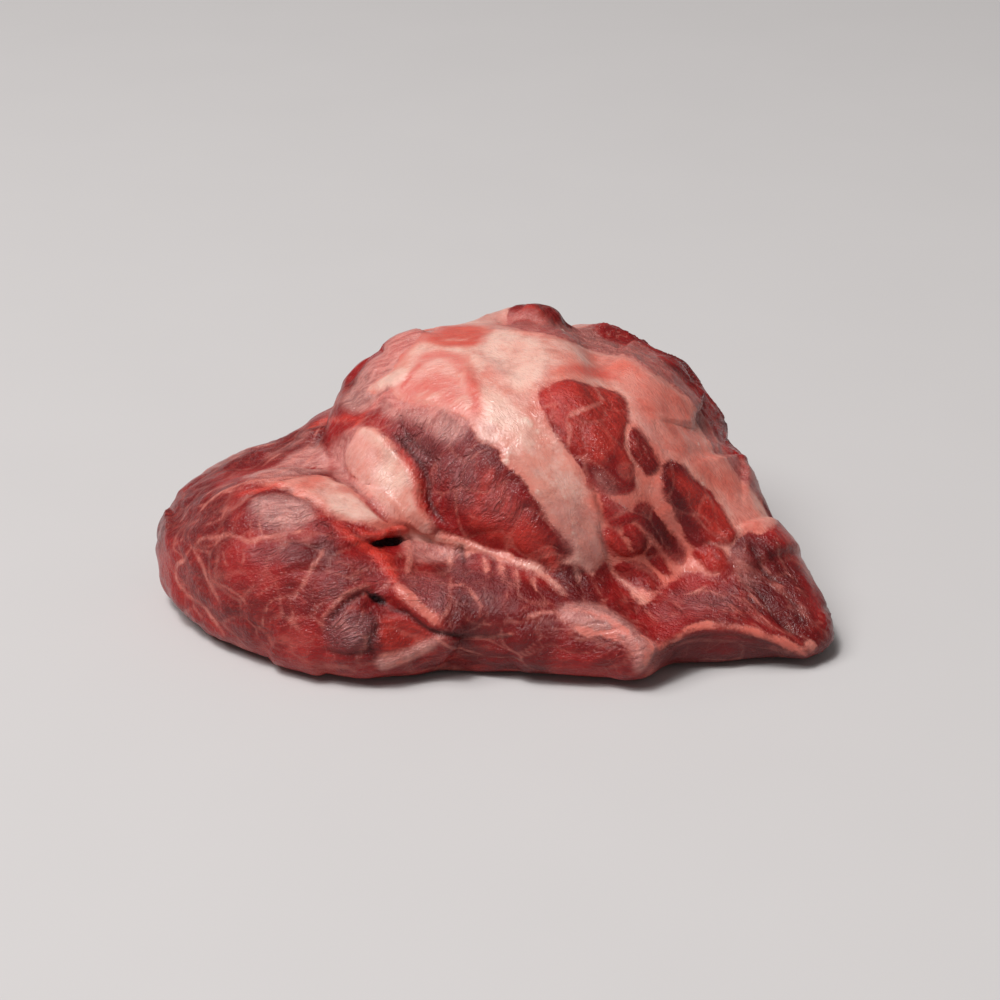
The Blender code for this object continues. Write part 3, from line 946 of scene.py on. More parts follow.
@dataclass
class Skin:
    """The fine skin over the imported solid, before any mark is laid on it."""

    coarse_cells: int = 32
    finer_levels: int = 2
    coarse_rounds: int = 70
    fine_rounds: int = 2
    smoothing_rounds: int = 8
    # Each round evens the skin out by the first share and swells it again by the second.
    smoothing_shares: tuple[float, float] = (0.60, -0.62)
    core_centre: tuple[float, float, float] = (0.0017, 0.0033, 0.020)
    core_spread: tuple[float, float, float] = (0.046, 0.020, 0.006)
    reach: float = 0.120
    roundness: float = 0.75
    # Below this height vertices pull less, so that the cells of the hidden underside are larger.
    underside_height: float = 0.002
    underside_weight: float = 0.80
    # How often the search for a direction halves the range that it lies in.
    halvings: int = 32
    chart_margin: float = 0.012

    mesh: bpy.types.Mesh = field(init=False, repr=False)
    places: np.ndarray = field(init=False, repr=False)
    normals: np.ndarray = field(init=False, repr=False)

    def build(self, solid: bpy.types.Object) -> None:
        """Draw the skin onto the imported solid.

        Args:
            solid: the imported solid, which stays as it is.
        """
        self._read(solid)
        self.mesh = self._gridded_cube()
        edges = self._edges()
        bulged = np.tan(self._coordinates() * math.pi / 4.0)
        directions = bulged / np.linalg.norm(bulged, axis=1, keepdims=True)
        places = self._drawn(directions)
        for _ in range(self.coarse_rounds):
            places = self._drawn(self._directions_to(self._even(places, edges)))
        self.set_coordinates(places)
        self._refine()
        edges = self._edges()
        places = self._drawn(self._directions_to(self._coordinates()))
        for _ in range(self.fine_rounds):
            places = self._drawn(self._directions_to(self._even(places, edges)))
        self.places = self._smoothed(places, edges)
        self.places[:, 2] = np.maximum(self.places[:, 2], 0.0)
        self.set_coordinates(self.places)
        self.normals = rows_of(self.mesh.vertex_normals, "vector", 3)

    def _read(self, solid: bpy.types.Object) -> None:
        """Keep the solid's triangles, its corner normals and a search tree.

        Args:
            solid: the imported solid.
        """
        shape = bmesh.new()
        shape.from_mesh(solid.data)
        bmesh.ops.remove_doubles(shape, verts=shape.verts[:], dist=1e-6)
        bmesh.ops.triangulate(shape, faces=shape.faces[:])
        shape.normal_update()
        shape.verts.index_update()
        self._corners = np.array([vertex.co[:] for vertex in shape.verts])
        self._corner_normals = np.array([vertex.normal[:] for vertex in shape.verts])
        self._triangles = np.array([[vertex.index for vertex in face.verts] for face in shape.faces])
        self._tree = BVHTree.FromBMesh(shape)
        shape.free()

    def _gridded_cube(self) -> bpy.types.Mesh:
        """A cube of square cells with a map of six charts for textures.

        Returns:
            The cube as a mesh.
        """
        grid = bmesh.new()
        bmesh.ops.create_cube(grid, size=2.0)
        bmesh.ops.subdivide_edges(grid, edges=grid.edges[:], cuts=self.coarse_cells - 1, use_grid_fill=True)
        chart_map = grid.loops.layers.uv.new("OFBake")
        for face in grid.faces:
            centre = face.calc_center_median()
            axis = max(range(3), key=lambda a: abs(centre[a]))
            first, second = [a for a in range(3) if a != axis]
            column, row = axis, int(centre[axis] > 0.0)
            for loop in face.loops:
                share = Vector((loop.vert.co[first], loop.vert.co[second])) * 0.5 + Vector((0.5, 0.5))
                share = share * (1.0 - 2.0 * self.chart_margin) + Vector((self.chart_margin,) * 2)
                loop[chart_map].uv = ((column + share.x) / 3.0, (row + share.y) / 2.0)
            face.smooth = True
        mesh = bpy.data.meshes.new("cheek_skin")
        grid.to_mesh(mesh)
        grid.free()
        return mesh

    def _refine(self) -> None:
        """Cut each cell into smaller ones, without bending it."""
        holder = bpy.data.objects.new("skin_holder", self.mesh)
        bpy.context.scene.collection.objects.link(holder)
        finer = holder.modifiers.new("finer", "SUBSURF")
        finer.subdivision_type = "SIMPLE"
        finer.levels = finer.render_levels = self.finer_levels
        evaluated = holder.evaluated_get(bpy.context.evaluated_depsgraph_get())
        refined = bpy.data.meshes.new_from_object(evaluated)
        bpy.data.objects.remove(holder)
        bpy.data.meshes.remove(self.mesh)
        self.mesh = refined
        self.mesh.name = "cheek_skin"

    def _coordinates(self) -> np.ndarray:
        """The mesh's vertices, one in each row."""
        return rows_of(self.mesh.vertices, "co", 3)

    def set_coordinates(self, places: np.ndarray) -> None:
        """Move the mesh's vertices to places."""
        self.mesh.vertices.foreach_set("co", places.astype(np.float32).ravel())
        self.mesh.update()

    def _edges(self) -> np.ndarray:
        """The vertex pairs of the mesh's edges."""
        return rows_of(self.mesh.edges, "vertices", 2, np.int32)

    def _drawn(self, directions: np.ndarray) -> np.ndarray:
        """Where rays along the directions leave the solid, with its flat facets rounded.

        Args:
            directions: unit vectors out of the core, one in each row.

        Returns:
            The places on the rounded solid.
        """
        starts = np.array(self.core_centre) + directions * (np.array(self.core_spread) + self.reach)
        hits = np.empty_like(starts)
        struck = np.empty(len(starts), np.int32)
        for index, (start, direction) in enumerate(zip(starts, directions)):
            place, _, face, _ = self._tree.ray_cast(Vector(start), Vector(-direction))
            hits[index], struck[index] = place, face
        corners = self._corners[self._triangles[struck]]
        normals = self._corner_normals[self._triangles[struck]]
        first, second = corners[:, 1] - corners[:, 0], corners[:, 2] - corners[:, 0]
        offset = hits - corners[:, 0]
        d11, d12, d22 = (first * first).sum(1), (first * second).sum(1), (second * second).sum(1)
        d1, d2 = (offset * first).sum(1), (offset * second).sum(1)
        scale = np.maximum(d11 * d22 - d12 * d12, 1e-18)
        shares = np.stack([d22 * d1 - d12 * d2, d11 * d2 - d12 * d1], axis=-1) / scale[:, None]
        shares = np.concatenate([1.0 - shares.sum(axis=1, keepdims=True), shares], axis=1)
        lift = ((hits[:, None] - corners) * normals).sum(axis=2)
        rounded = (shares[:, :, None] * (hits[:, None] - lift[:, :, None] * normals)).sum(axis=1)
        return hits + self.roundness * (rounded - hits)

    def _directions_to(self, places: np.ndarray) -> np.ndarray:
        """The direction whose ray passes through each place.

        Args:
            places: one row for each vertex.

        Returns:
            A unit vector for each place.
        """
        offset, spread = places - np.array(self.core_centre), np.array(self.core_spread)
        near, far = np.zeros(len(places)), np.full(len(places), self.reach * 2.0)
        for _ in range(self.halvings):
            middle = (near + far) / 2.0
            short = np.linalg.norm(offset / (spread + middle[:, None]), axis=1) > 1.0
            near = np.where(short, middle, near)
            far = np.where(short, far, middle)
        aim = offset / (spread + far[:, None])
        return aim / np.linalg.norm(aim, axis=1, keepdims=True)

    def _even(self, places: np.ndarray, edges: np.ndarray) -> np.ndarray:
        """The middle of each vertex's neighbours, drawn away from the underside."""
        weights = np.where(places[:, 2] < self.underside_height, self.underside_weight, 1.0)
        return neighbour_means(places, edges, weights)

    def _smoothed(self, places: np.ndarray, edges: np.ndarray) -> np.ndarray:
        """Even out small dents, at about the same size.

        Args:
            places: one row for each vertex.
            edges: vertex pairs.

        Returns:
            The smoothed places.
        """
        weights = np.ones(len(places))
        for share in self.smoothing_shares * self.smoothing_rounds:
            places = places + share * (neighbour_means(places, edges, weights) - places)
        return places


def rows_of(items: Any, name: str, width: int, kind: type = float) -> np.ndarray:
    """A property of some parts of a mesh.

    Args:
        items: the parts, such as its vertices.
        name: what the property is called.
        width: how many numbers it has.
        kind: what kind of numbers they are.

    Returns:
        One row for each part.
    """
    flat = np.empty(len(items) * width, kind)
    items.foreach_get(name, flat)
    return flat.reshape(-1, width)


def neighbour_means(values: np.ndarray, edges: np.ndarray, weights: np.ndarray) -> np.ndarray:
    """The weighted mean of each vertex's neighbours.

    Args:
        values: one row for each vertex.
        edges: vertex pairs.
        weights: how strongly each vertex pulls its neighbours.

    Returns:
        One row of means for each vertex.
    """
    count = len(values)
    towards, source = np.concatenate([edges[:, 0], edges[:, 1]]), np.concatenate([edges[:, 1], edges[:, 0]])
    total = np.bincount(towards, weights[source], count)
    columns = [np.bincount(towards, weights[source] * column[source], count) / total for column in values.T]
    return np.stack(columns, axis=-1)


def ease(value: np.ndarray) -> np.ndarray:
    """A smooth step from 0 to 1 for values from 0 to 1."""
    value = np.clip(value, 0.0, 1.0)
    return value * value * (3.0 - 2.0 * value)


class TissueMap:
    """Marks carried onto a skin: tissue covers and the height of the relief."""

    SAMPLE_PX = 1.5
    SIGHT_SLACK = 1.5 * MM
    # A line's rise falls off beside it as a bell. It ends SPARE_MM beyond BELL_REACH times half the
    # line's width, or beyond its soft edge where that lies farther out.
    BELL_FALL = 0.7
    BELL_REACH = 1.8
    SPARE_MM = 2.0
    # Keeps the ends of a line from thinning out to nothing.
    BLUNT_END = 0.25

    def __init__(self, skin: Skin) -> None:
        """Start with bare muscle all over the skin.

        Args:
            skin: the skin that marks are carried onto.
        """
        self.skin = skin
        self.relief_mm = np.zeros(len(skin.places))
        self.seen: dict[Eye, np.ndarray] = {}
        self.covers = {
            tissue: np.full(len(skin.places), -FAR_MM if tissue in CRISP else 0.0) for tissue in Tissue
        }
        self.tree = BVHTree.FromPolygons(
            [Vector(place) for place in skin.places],
            [tuple(polygon.vertices) for polygon in skin.mesh.polygons],
        )

    def carry(self, line: np.ndarray, eye: Eye) -> np.ndarray:
        """The places on the skin that an eye sees at pixels. Pixels beside the meat are dropped.

        Args:
            line: a row (across, down) for each pixel.
            eye: the eye that sees them.

        Returns:
            One row for each place found.
        """
        start = Vector(eye.place)
        hits = (self.tree.ray_cast(start, Vector(eye.sight(pixel)))[0] for pixel in line)
        return np.array([hit[:] for hit in hits if hit is not None]).reshape(-1, 3)

    def gaps_mm(
        self, samples: np.ndarray, reach_mm: float
    ) -> tuple[np.ndarray, np.ndarray, np.ndarray]:
        """The vertices near some samples, and their distances to them in millimetres.

        Args:
            samples: places along a line.
            reach_mm: how near a vertex has to be.

        Returns:
            The indices of the vertices, the distance of each, and which sample is nearest to it.
        """
        low, high = samples.min(axis=0) - reach_mm * MM, samples.max(axis=0) + reach_mm * MM
        near = np.nonzero(((self.skin.places > low) & (self.skin.places < high)).all(axis=1))[0]
        tree = kdtree.KDTree(len(samples))
        for index, sample in enumerate(samples):
            tree.insert(sample, index)
        tree.balance()
        found = [tree.find(place) for place in self.skin.places[near]]
        gaps = np.array([hit[2] for hit in found]) / MM
        which = np.array([hit[1] for hit in found], int)
        close = gaps < reach_mm
        return near[close], gaps[close], which[close]

    def lay(self, marks: Iterable[Mark]) -> None:
        """Carry marks onto the skin, in order.

        Args:
            marks: the lines and areas.
        """
        for mark in marks:
            if isinstance(mark, Patch):
                self._lay_patch(mark)
            else:
                self._lay_line(mark)

    def _lay_line(self, mark: Mark) -> None:
        """Carry one line onto the skin.

        Args:
            mark: the line.
        """
        samples = self.carry(smooth_line(mark.path, False, self.SAMPLE_PX), mark.eye)
        if not len(samples):
            log.warning("%s misses the meat", mark.name)
            return
        half = mark.width_mm / 2.0
        reach = max(half * self.BELL_REACH, half + mark.soft_mm) + self.SPARE_MM
        near, gaps, which = self.gaps_mm(samples, reach)
        share = which / max(len(samples) - 1, 1)
        thin = ease(np.minimum(share, 1.0 - share) / mark.taper + self.BLUNT_END)
        self._cover(mark, near, half * thin - gaps)
        if mark.rise_mm:
            self.relief_mm[near] += mark.rise_mm * thin * np.exp(-((gaps / half) ** 2) * self.BELL_FALL)

    def _lay_patch(self, mark: Patch) -> None:
        """Carry one area onto the skin.

        Args:
            mark: the area.
        """
        line = smooth_line(mark.path, True, self.SAMPLE_PX)
        samples = self.carry(line, mark.eye)
        inside = inside_line(mark.eye.pixels(self.skin.places), line) & self._seen(mark.eye)
        depths = np.where(inside, FAR_MM, -FAR_MM)
        near, gaps, _ = self.gaps_mm(samples, FAR_MM)
        depths[near] = np.where(inside[near], gaps, -gaps)
        touched = np.nonzero(depths > -FAR_MM)[0]
        self._cover(mark, touched, depths[touched])
        if mark.rise_mm:
            self.relief_mm[touched] += mark.rise_mm * ease(depths[touched] / mark.width_mm)

    def _seen(self, eye: Eye) -> np.ndarray:
        """Which vertices an eye sees, worked out once for each eye.

        Args:
            eye: the eye.

        Returns:
            True for each vertex that it sees.
        """
        if eye not in self.seen:
            start = Vector(eye.place)
            gaps = np.linalg.norm(self.skin.places - eye.place, axis=1)
            facing = (self.skin.normals * (eye.place - self.skin.places)).sum(axis=1) > 0.0
            for index in np.nonzero(facing)[0]:
                ray = Vector(self.skin.places[index]) - start
                reach = self.tree.ray_cast(start, ray)[3]
                facing[index] = reach is None or reach > gaps[index] - self.SIGHT_SLACK
            self.seen[eye] = facing
        return self.seen[eye]

    def _cover(self, mark: Mark, near: np.ndarray, depths_mm: np.ndarray) -> None:
        """Lay a mark's tissue on vertices.

        Args:
            mark: the line or area.
            near: the indices of the vertices.
            depths_mm: how far each lies inside the mark, below 0 if it lies outside.
        """
        if mark.tissue is Tissue.FORM:
            return
        if mark.tissue is Tissue.WINDOW:
            fascia = self.covers[Tissue.FASCIA]
            fascia[near] = np.minimum(fascia[near], -depths_mm)
            return
        cover = self.covers[mark.tissue]
        if mark.tissue in CRISP:
            cover[near] = np.maximum(cover[near], depths_mm - (1.0 - mark.strength))
        else:
            share = mark.strength * ease(0.5 + depths_mm / mark.soft_mm)
            cover[near] = np.maximum(cover[near], share)


def smooth_line(path: Path, closed: bool, step: float) -> np.ndarray:
    """A smooth line through pixels.

    Args:
        path: the pixels (across, down).
        closed: whether the line comes back to its first pixel.
        step: how far apart the samples are, in pixels.

    Returns:
        One row for each sample.
    """
    points = np.array(path, float)
    if closed:
        points = np.concatenate([points[-1:], points, points[:2]])
    else:
        points = np.concatenate([2 * points[:1] - points[1:2], points, 2 * points[-1:] - points[-2:-1]])
    samples = []
    for before, first, second, after in zip(points[:-3], points[1:-2], points[2:-1], points[3:]):
        count = max(2, int(np.linalg.norm(second - first) / step))
        share = (np.arange(count) / count)[:, None]
        samples.append(
            0.5
            * (
                2.0 * first
                + (second - before) * share
                + (2.0 * before - 5.0 * first + 4.0 * second - after) * share**2
                + (3.0 * first - before - 3.0 * second + after) * share**3
            )
        )
    if not closed:
        samples.append(points[-2:-1])
    return np.concatenate(samples)


def inside_line(pixels: np.ndarray, line: np.ndarray) -> np.ndarray:
    """Which pixels lie inside a closed line.

    Args:
        pixels: a row (across, down) for each pixel.
        line: a row for each corner of the line.

    Returns:
        True for each pixel inside.
    """
    inside = np.zeros(len(pixels), bool)
    across, down = pixels.T
    low, high = line.min(axis=0), line.max(axis=0)
    chance = np.nonzero(((pixels > low) & (pixels < high)).all(axis=1))[0]
    across, down = across[chance], down[chance]
    for (x1, y1), (x2, y2) in zip(line, np.roll(line, -1, axis=0)):
        crosses = (y1 > down) != (y2 > down)
        reach = x1 + (down - y1) * (x2 - x1) / (y2 - y1 if y2 != y1 else 1.0)
        inside[chance] ^= crosses & (across < reach)
    return inside


def paint(red: int, green: int, blue: int) -> tuple[float, float, float, float]:
    """The linear colour of a screen colour.

    Args:
        red: its red, from 0 to 255.
        green: its green.
        blue: its blue.

    Returns:
        Linear red, green and blue, and full cover.
    """
    shares = [value / 255.0 for value in (red, green, blue)]
    linear = [s / 12.92 if s <= 0.04045 else ((s + 0.055) / 1.055) ** 2.4 for s in shares]
    return (*linear, 1.0)


Socket = bpy.types.NodeSocket


class Finish:
    """A material's nodes, added one by one. Lengths in its patterns are in millimetres."""

    def __init__(self, name: str) -> None:
        """Start a material that has only its shader and the place on the object.

        Args:
            name: what the material is called.
        """
        self.material = bpy.data.materials.new(name)
        self.material.use_nodes = True
        self.tree = self.material.node_tree
        self.shader = self.tree.nodes["Principled BSDF"]
        place = self.node("TexCoord", {}).outputs["Object"]
        in_mm = self.node("Mapping", {"Vector": place, "Scale": (MM,) * 3}, vector_type="TEXTURE")
        self.place = in_mm.outputs["Vector"]

    def node(self, kind: str, inputs: dict[int | str, Any], **settings: Any) -> bpy.types.Node:
        """Add a node.

        Args:
            kind: its type, without the words that all shader nodes start with.
            inputs: a socket or a value for each input, by number or by name.
            settings: the node's own settings, which are made first.

        Returns:
            The node.
        """
        node = self.tree.nodes.new("ShaderNode" + kind)
        for name, value in settings.items():
            setattr(node, name, value)
        for name, source in inputs.items():
            self.join(source, node.inputs[name])
        return node

    def join(self, source: Socket | float | tuple | Vector, target: Socket) -> None:
        """Link a socket to an input, or set the input to a value.

        Args:
            source: the socket or the value.
            target: the input.
        """
        if isinstance(source, bpy.types.NodeSocket):
            self.tree.links.new(source, target)
        else:
            target.default_value = source

    def cover(self, tissue: Tissue) -> Socket:
        """A tissue's cover from the skin."""
        return self.node("Attribute", {}, attribute_name=tissue.value).outputs["Fac"]

    def cloud(self, place: Socket, size_mm: float, detail: float = 3.0, roughness: float = 0.5) -> Socket:
        """Soft noise from 0 to 1 with lumps of about size_mm."""
        inputs = {"Vector": place, "Scale": 1.0 / size_mm, "Detail": detail, "Roughness": roughness}
        return self.node("TexNoise", inputs).outputs["Fac"]

    def cracks(self, place: Socket, size_mm: float) -> Socket:
        """The distance to the edge of irregular cells of about size_mm, in cells."""
        inputs = {"Vector": place, "Scale": 1.0 / size_mm}
        return self.node("TexVoronoi", inputs, feature="DISTANCE_TO_EDGE").outputs["Distance"]

    def warped(self, place: Socket, size_mm: float, amount_mm: float) -> Socket:
        """A place shifted about by noise.

        Args:
            place: the place.
            size_mm: how large the noise's lumps are.
            amount_mm: how far it is shifted at most.

        Returns:
            The shifted place.
        """
        shift = self.node("TexNoise", {"Vector": place, "Scale": 1.0 / size_mm}).outputs["Color"]
        inputs = {0: shift, 1: (amount_mm,) * 3, 2: place}
        return self.node("VectorMath", inputs, operation="MULTIPLY_ADD").outputs["Vector"]

    def drawn_out(self, place: Socket, way: tuple[float, float, float], stretch: float) -> Socket:
        """A place whose patterns are drawn out along a way.

        Args:
            place: the place.
            way: the direction along which they are drawn out.
            stretch: how many times longer they become.

        Returns:
            The place to give to a pattern.
        """
        unit = Vector(way).normalized()
        along = self.node("VectorMath", {0: place, 1: unit}, operation="DOT_PRODUCT").outputs["Value"]
        back = self.times(along, 1.0 / stretch - 1.0)
        shift = self.node("VectorMath", {0: unit, "Scale": back}, operation="SCALE").outputs["Vector"]
        return self.node("VectorMath", {0: place, 1: shift}).outputs["Vector"]

    def sum(self, operation: str, first: Socket | float, second: Socket | float = 0.0) -> Socket:
        """A sum with two values."""
        return self.node("Math", {0: first, 1: second}, operation=operation).outputs["Value"]

    def plus(self, first: Socket | float, second: Socket | float) -> Socket:
        """Two values added up."""
        return self.sum("ADD", first, second)

    def times(self, first: Socket | float, second: Socket | float) -> Socket:
        """Two values multiplied."""
        return self.sum("MULTIPLY", first, second)

    def off_middle(self, value: Socket) -> Socket:
        """How far noise is above its middle."""
        return self.sum("SUBTRACT", value, 0.5)

    def step(
        self, value: Socket, low: float, high: Socket | float, top: float = 1.0, bottom: float = 0.0
    ) -> Socket:
        """A smooth step from bottom at low to top at high."""
        inputs = {"Value": value, "From Min": low, "From Max": high, "To Min": bottom, "To Max": top}
        return self.node("MapRange", inputs, interpolation_type="SMOOTHSTEP").outputs["Result"]

    def ridges(self, value: Socket, width: float) -> Socket:
        """Lines where noise crosses its middle: 1 on a line, 0 from width away from it."""
        return self.step(self.sum("ABSOLUTE", self.off_middle(value)), 0.0, width, 0.0, 1.0)

    def pick(self, share: Socket, first: Socket, second: Socket) -> Socket:
        """A value between two values."""
        return self.node("Mix", {0: share, 2: first, 3: second}).outputs[0]

    def blend(self, share: Socket | float, first: Socket | tuple, second: Socket | tuple) -> Socket:
        """A colour between two colours."""
        return self.node("Mix", {0: share, 6: first, 7: second}, data_type="RGBA").outputs[2]


class Grain:
    """Fibres and wrinkles along the grain, which turns from one part of the meat to the next.

    The fibres are noise from 0 to 1, and the wrinkles are 1 along each.
    """

    LEVEL = (1.0, 0.1, 0.15)
    RISING = (0.55, 0.35, 0.75)
    FALLING = (0.60, -0.35, -0.70)
    # How long fibres and wrinkles are for their width.
    FIBRE_STRETCH = 5.5
    WRINKLE_STRETCH = 3.6

    def __init__(self, f: Finish) -> None:
        """Add the nodes.

        Args:
            f: the material that they are for.
        """
        swirl = f.warped(f.place, 10.0, 5.0)
        fibres, wrinkles = [], []
        for way in (self.LEVEL, self.RISING, self.FALLING):
            fibres.append(f.cloud(f.drawn_out(swirl, way, self.FIBRE_STRETCH), 1.4, 5.0, 0.62))
            wrinkled = f.cloud(f.drawn_out(swirl, way, self.WRINKLE_STRETCH), 1.5, 2.5, 0.6)
            wrinkles.append(f.ridges(wrinkled, 0.16))
        self.fibres, self.wrinkles = (
            f.pick(f.cover(Tissue.FALLING), f.pick(f.cover(Tissue.RISING), level, rising), falling)
            for level, rising, falling in (fibres, wrinkles)
        )


class Layers:
    """How far each tissue of the meat shows, mostly from 0 to 1, and the noise that breaks it up."""

    def __init__(self, f: Finish) -> None:
        """Add the nodes for the noise and for the tissues.

        Args:
            f: the material that they are for.
        """
        self.edge = f.off_middle(f.cloud(f.place, 3.6, 8.0, 0.72))
        self.grit = f.off_middle(f.cloud(f.place, 0.8, 3.0, 0.6))
        self.mottle = f.cloud(f.place, 7.0, 4.0, 0.6)
        self.wide = f.cloud(f.place, 20.0, 3.0, 0.5)
        grain = Grain(f)
        self.fibres, self.wrinkles = grain.fibres, grain.wrinkles

        ragged = f.plus(f.times(self.edge, 3.0), f.times(f.off_middle(self.fibres), 1.1))
        inside_sheet = f.plus(f.cover(Tissue.FASCIA), ragged)
        self.fascia = f.step(inside_sheet, -0.45, f.step(self.mottle, 0.35, 0.65, 2.4, 0.4))
        self.sheet_depth = f.step(inside_sheet, 0.0, 3.0)
        self.fat = f.step(f.plus(f.cover(Tissue.FAT), f.times(self.edge, 2.6)), -0.5, 0.9)
        inside_line = f.plus(f.cover(Tissue.SEPTUM), f.times(self.edge, 1.6))
        self.septum = f.times(f.step(inside_line, -0.5, 0.55), f.step(self.mottle, 0.36, 0.62, 0.80, 0.30))
        self.halo = f.step(inside_line, -2.2, 0.4, 0.16)
        self.silverskin_sheen = f.times(f.cover(Tissue.SILVERSKIN_SHEEN), f.step(self.mottle, 0.34, 0.58, 1.0, 0.45))
        self.film = f.times(f.cover(Tissue.FILM), f.step(self.fibres, 0.36, 0.62, 1.0, 0.50))
        self.veil_and_edge_sheen = f.times(f.cover(Tissue.VEIL_AND_EDGE_SHEEN), f.step(self.fibres, 0.36, 0.66, 1.0, 0.45))
        self.bright = f.times(f.cover(Tissue.BRIGHT), f.step(self.fibres, 0.34, 0.6, 1.0, 0.5))
        self.net = self._net(f)

    def _net(self, f: Finish) -> Socket:
        """Hair-thin lines: a net of cells, and the seams between the bundles of muscle.

        Args:
            f: the material that they are for.

        Returns:
            How far they show.
        """
        seam = f.step(f.plus(f.cover(Tissue.SEAM), f.times(self.edge, 0.8)), 0.35, 1.0)
        cells = f.step(f.cracks(f.warped(f.place, 6.0, 3.0), 5.0), 0.0, 0.05, 0.0, 1.0)
        cells = f.times(cells, f.step(self.mottle, 0.45, 0.62, 0.5))
        return f.plus(cells, f.times(seam, f.step(self.mottle, 0.35, 0.6, 0.5, 1.6)))


@dataclass(frozen=True)
class MeatFinish:
    """Wet raw meat: the colours of its tissues, with painted shade and sheen among them, and how they catch
    the light.
    """

    muscle: tuple = paint(152, 24, 25)
    muscle_deep: tuple = paint(104, 11, 14)
    muscle_light: tuple = paint(184, 62, 53)
    bright: tuple = paint(204, 58, 46)
    # Darker muscle, and painted shade on the lower front and under the hem lip.
    purple_and_shade: tuple = paint(80, 14, 18)
    septum: tuple = paint(218, 132, 118)
    film: tuple = paint(230, 166, 156)
    # The painted sheen of light on wet silver skin.
    silverskin_sheen: tuple = paint(198, 132, 132)
    silverskin_sheen_deep: tuple = paint(98, 20, 26)
    fascia: tuple = paint(222, 146, 130)
    fascia_light: tuple = paint(230, 174, 160)
    fascia_red: tuple = paint(208, 98, 84)
    salmon: tuple = paint(218, 110, 94)
    # Pale fascia, and the colour of the painted highlight streak.
    pale: tuple = paint(236, 190, 174)
    # A grey film, and a painted reflection along the grazing edges.
    veil_and_edge_sheen: tuple = paint(190, 126, 118)
    fat: tuple = paint(240, 208, 192)
    # Painted shade for the pockets and creases.
    hollow_shade: tuple = paint(50, 6, 10)
    roughness_flesh: float = 0.33
    roughness_sheet: float = 0.37
    # The shader's inputs that are the same all over the meat.
    wetness: tuple[tuple[str, Any], ...] = (
        ("Subsurface Weight", 0.12),
        ("Subsurface Radius", (1.0, 0.30, 0.20)),
        ("Subsurface Scale", 0.0015),
        ("Coat Weight", 0.42),
        ("Coat Roughness", 0.08),
        ("Specular IOR Level", 0.22),
        ("IOR", 1.38),
    )

    def material(self) -> bpy.types.Material:
        """Make the finish.

        Returns:
            The material.
        """
        f = Finish("raw_meat_skin")
        layers = Layers(f)
        thin_places = f.step(f.cloud(f.place, 4.5, 5.0, 0.7), 0.34, 0.56, 0.96, 0.74)
        sheet_share = f.times(layers.fascia, thin_places)
        colour = f.blend(sheet_share, self._flesh(f, layers), self._sheet(f, layers))
        # A grey film, and a painted reflection along the grazing edges.
        colour = f.blend(f.times(layers.veil_and_edge_sheen, 0.75), colour, self.veil_and_edge_sheen)
        colour = f.blend(f.times(layers.fat, 0.85), colour, self.fat)
        # Painted shade: near black in the pockets and creases.
        colour = f.blend(f.cover(Tissue.HOLLOW_SHADE), colour, self.hollow_shade)
        f.join(colour, f.shader.inputs["Base Color"])
        rough = f.step(layers.fascia, 0.0, 1.0, self.roughness_sheet, self.roughness_flesh)
        f.join(f.plus(rough, f.times(layers.edge, 0.3)), f.shader.inputs["Roughness"])
        self._bump(f, layers)
        for name, value in self.wetness:
            f.shader.inputs[name].default_value = value
        return f.material

    def _flesh(self, f: Finish, layers: Layers) -> Socket:
        """The colour of bare muscle with its silver skin and painted sheen, films and septa, and painted
        shade on the lower front and under the hem lip.

        Args:
            f: the material.
            layers: its tissues and noise.

        Returns:
            The colour.
        """
        colour = f.blend(f.step(layers.wide, 0.38, 0.62), self.muscle_deep, self.muscle)
        colour = f.blend(f.times(f.step(layers.fibres, 0.44, 0.74), 0.5), colour, self.muscle_light)
        # Darker muscle, and painted shade on the lower front and under the hem lip.
        colour = f.blend(f.times(f.cover(Tissue.DARK), 0.9), colour, self.purple_and_shade)
        colour = f.blend(layers.bright, colour, self.bright)
        # Silver skin: its painted sheen, darker along the wrinkles.
        sheen_foil = f.blend(f.step(layers.wrinkles, 0.1, 1.0, 0.55), self.silverskin_sheen, self.silverskin_sheen_deep)
        sheen_foil = f.blend(f.step(layers.wide, 0.4, 0.6, 0.5), sheen_foil, self.silverskin_sheen_deep)
        colour = f.blend(f.times(layers.silverskin_sheen, 0.66), colour, sheen_foil)
        colour = f.blend(f.times(layers.net, 0.22), colour, self.septum)
        colour = f.blend(f.times(layers.film, 0.75), colour, self.film)
        colour = f.blend(layers.halo, colour, self.muscle_light)
        return f.blend(layers.septum, colour, self.septum)

    def _sheet(self, f: Finish, layers: Layers) -> Socket:
        """The colour of the pale sheet, from cream to salmon and red.

        Args:
            f: the material.
            layers: its tissues and noise.

        Returns:
            The colour.
        """
        streaks = f.plus(f.times(layers.fibres, 0.3), f.times(layers.mottle, 0.7))
        colour = f.blend(f.step(streaks, 0.40, 0.60), self.fascia, self.fascia_light)
        colour = f.blend(f.times(f.step(layers.wide, 0.46, 0.66), 0.40), colour, self.fascia_red)
        colour = f.blend(f.times(f.step(layers.edge, 0.02, 0.20), 0.30), colour, self.fascia_red)
        salmon = f.times(f.cover(Tissue.SALMON), f.step(layers.mottle, 0.32, 0.66, 0.62, 0.92))
        colour = f.blend(salmon, colour, self.salmon)
        colour = f.blend(f.times(layers.film, 0.55), colour, self.film)
        pale = f.times(f.cover(Tissue.PALE), f.step(layers.mottle, 0.32, 0.62, 0.92, 0.55))
        colour = f.blend(pale, colour, self.pale)
        colour = f.blend(layers.bright, colour, self.bright)
        return f.blend(f.step(layers.sheet_depth, 0.0, 1.0, 0.0, 0.40), colour, self.fascia_red)

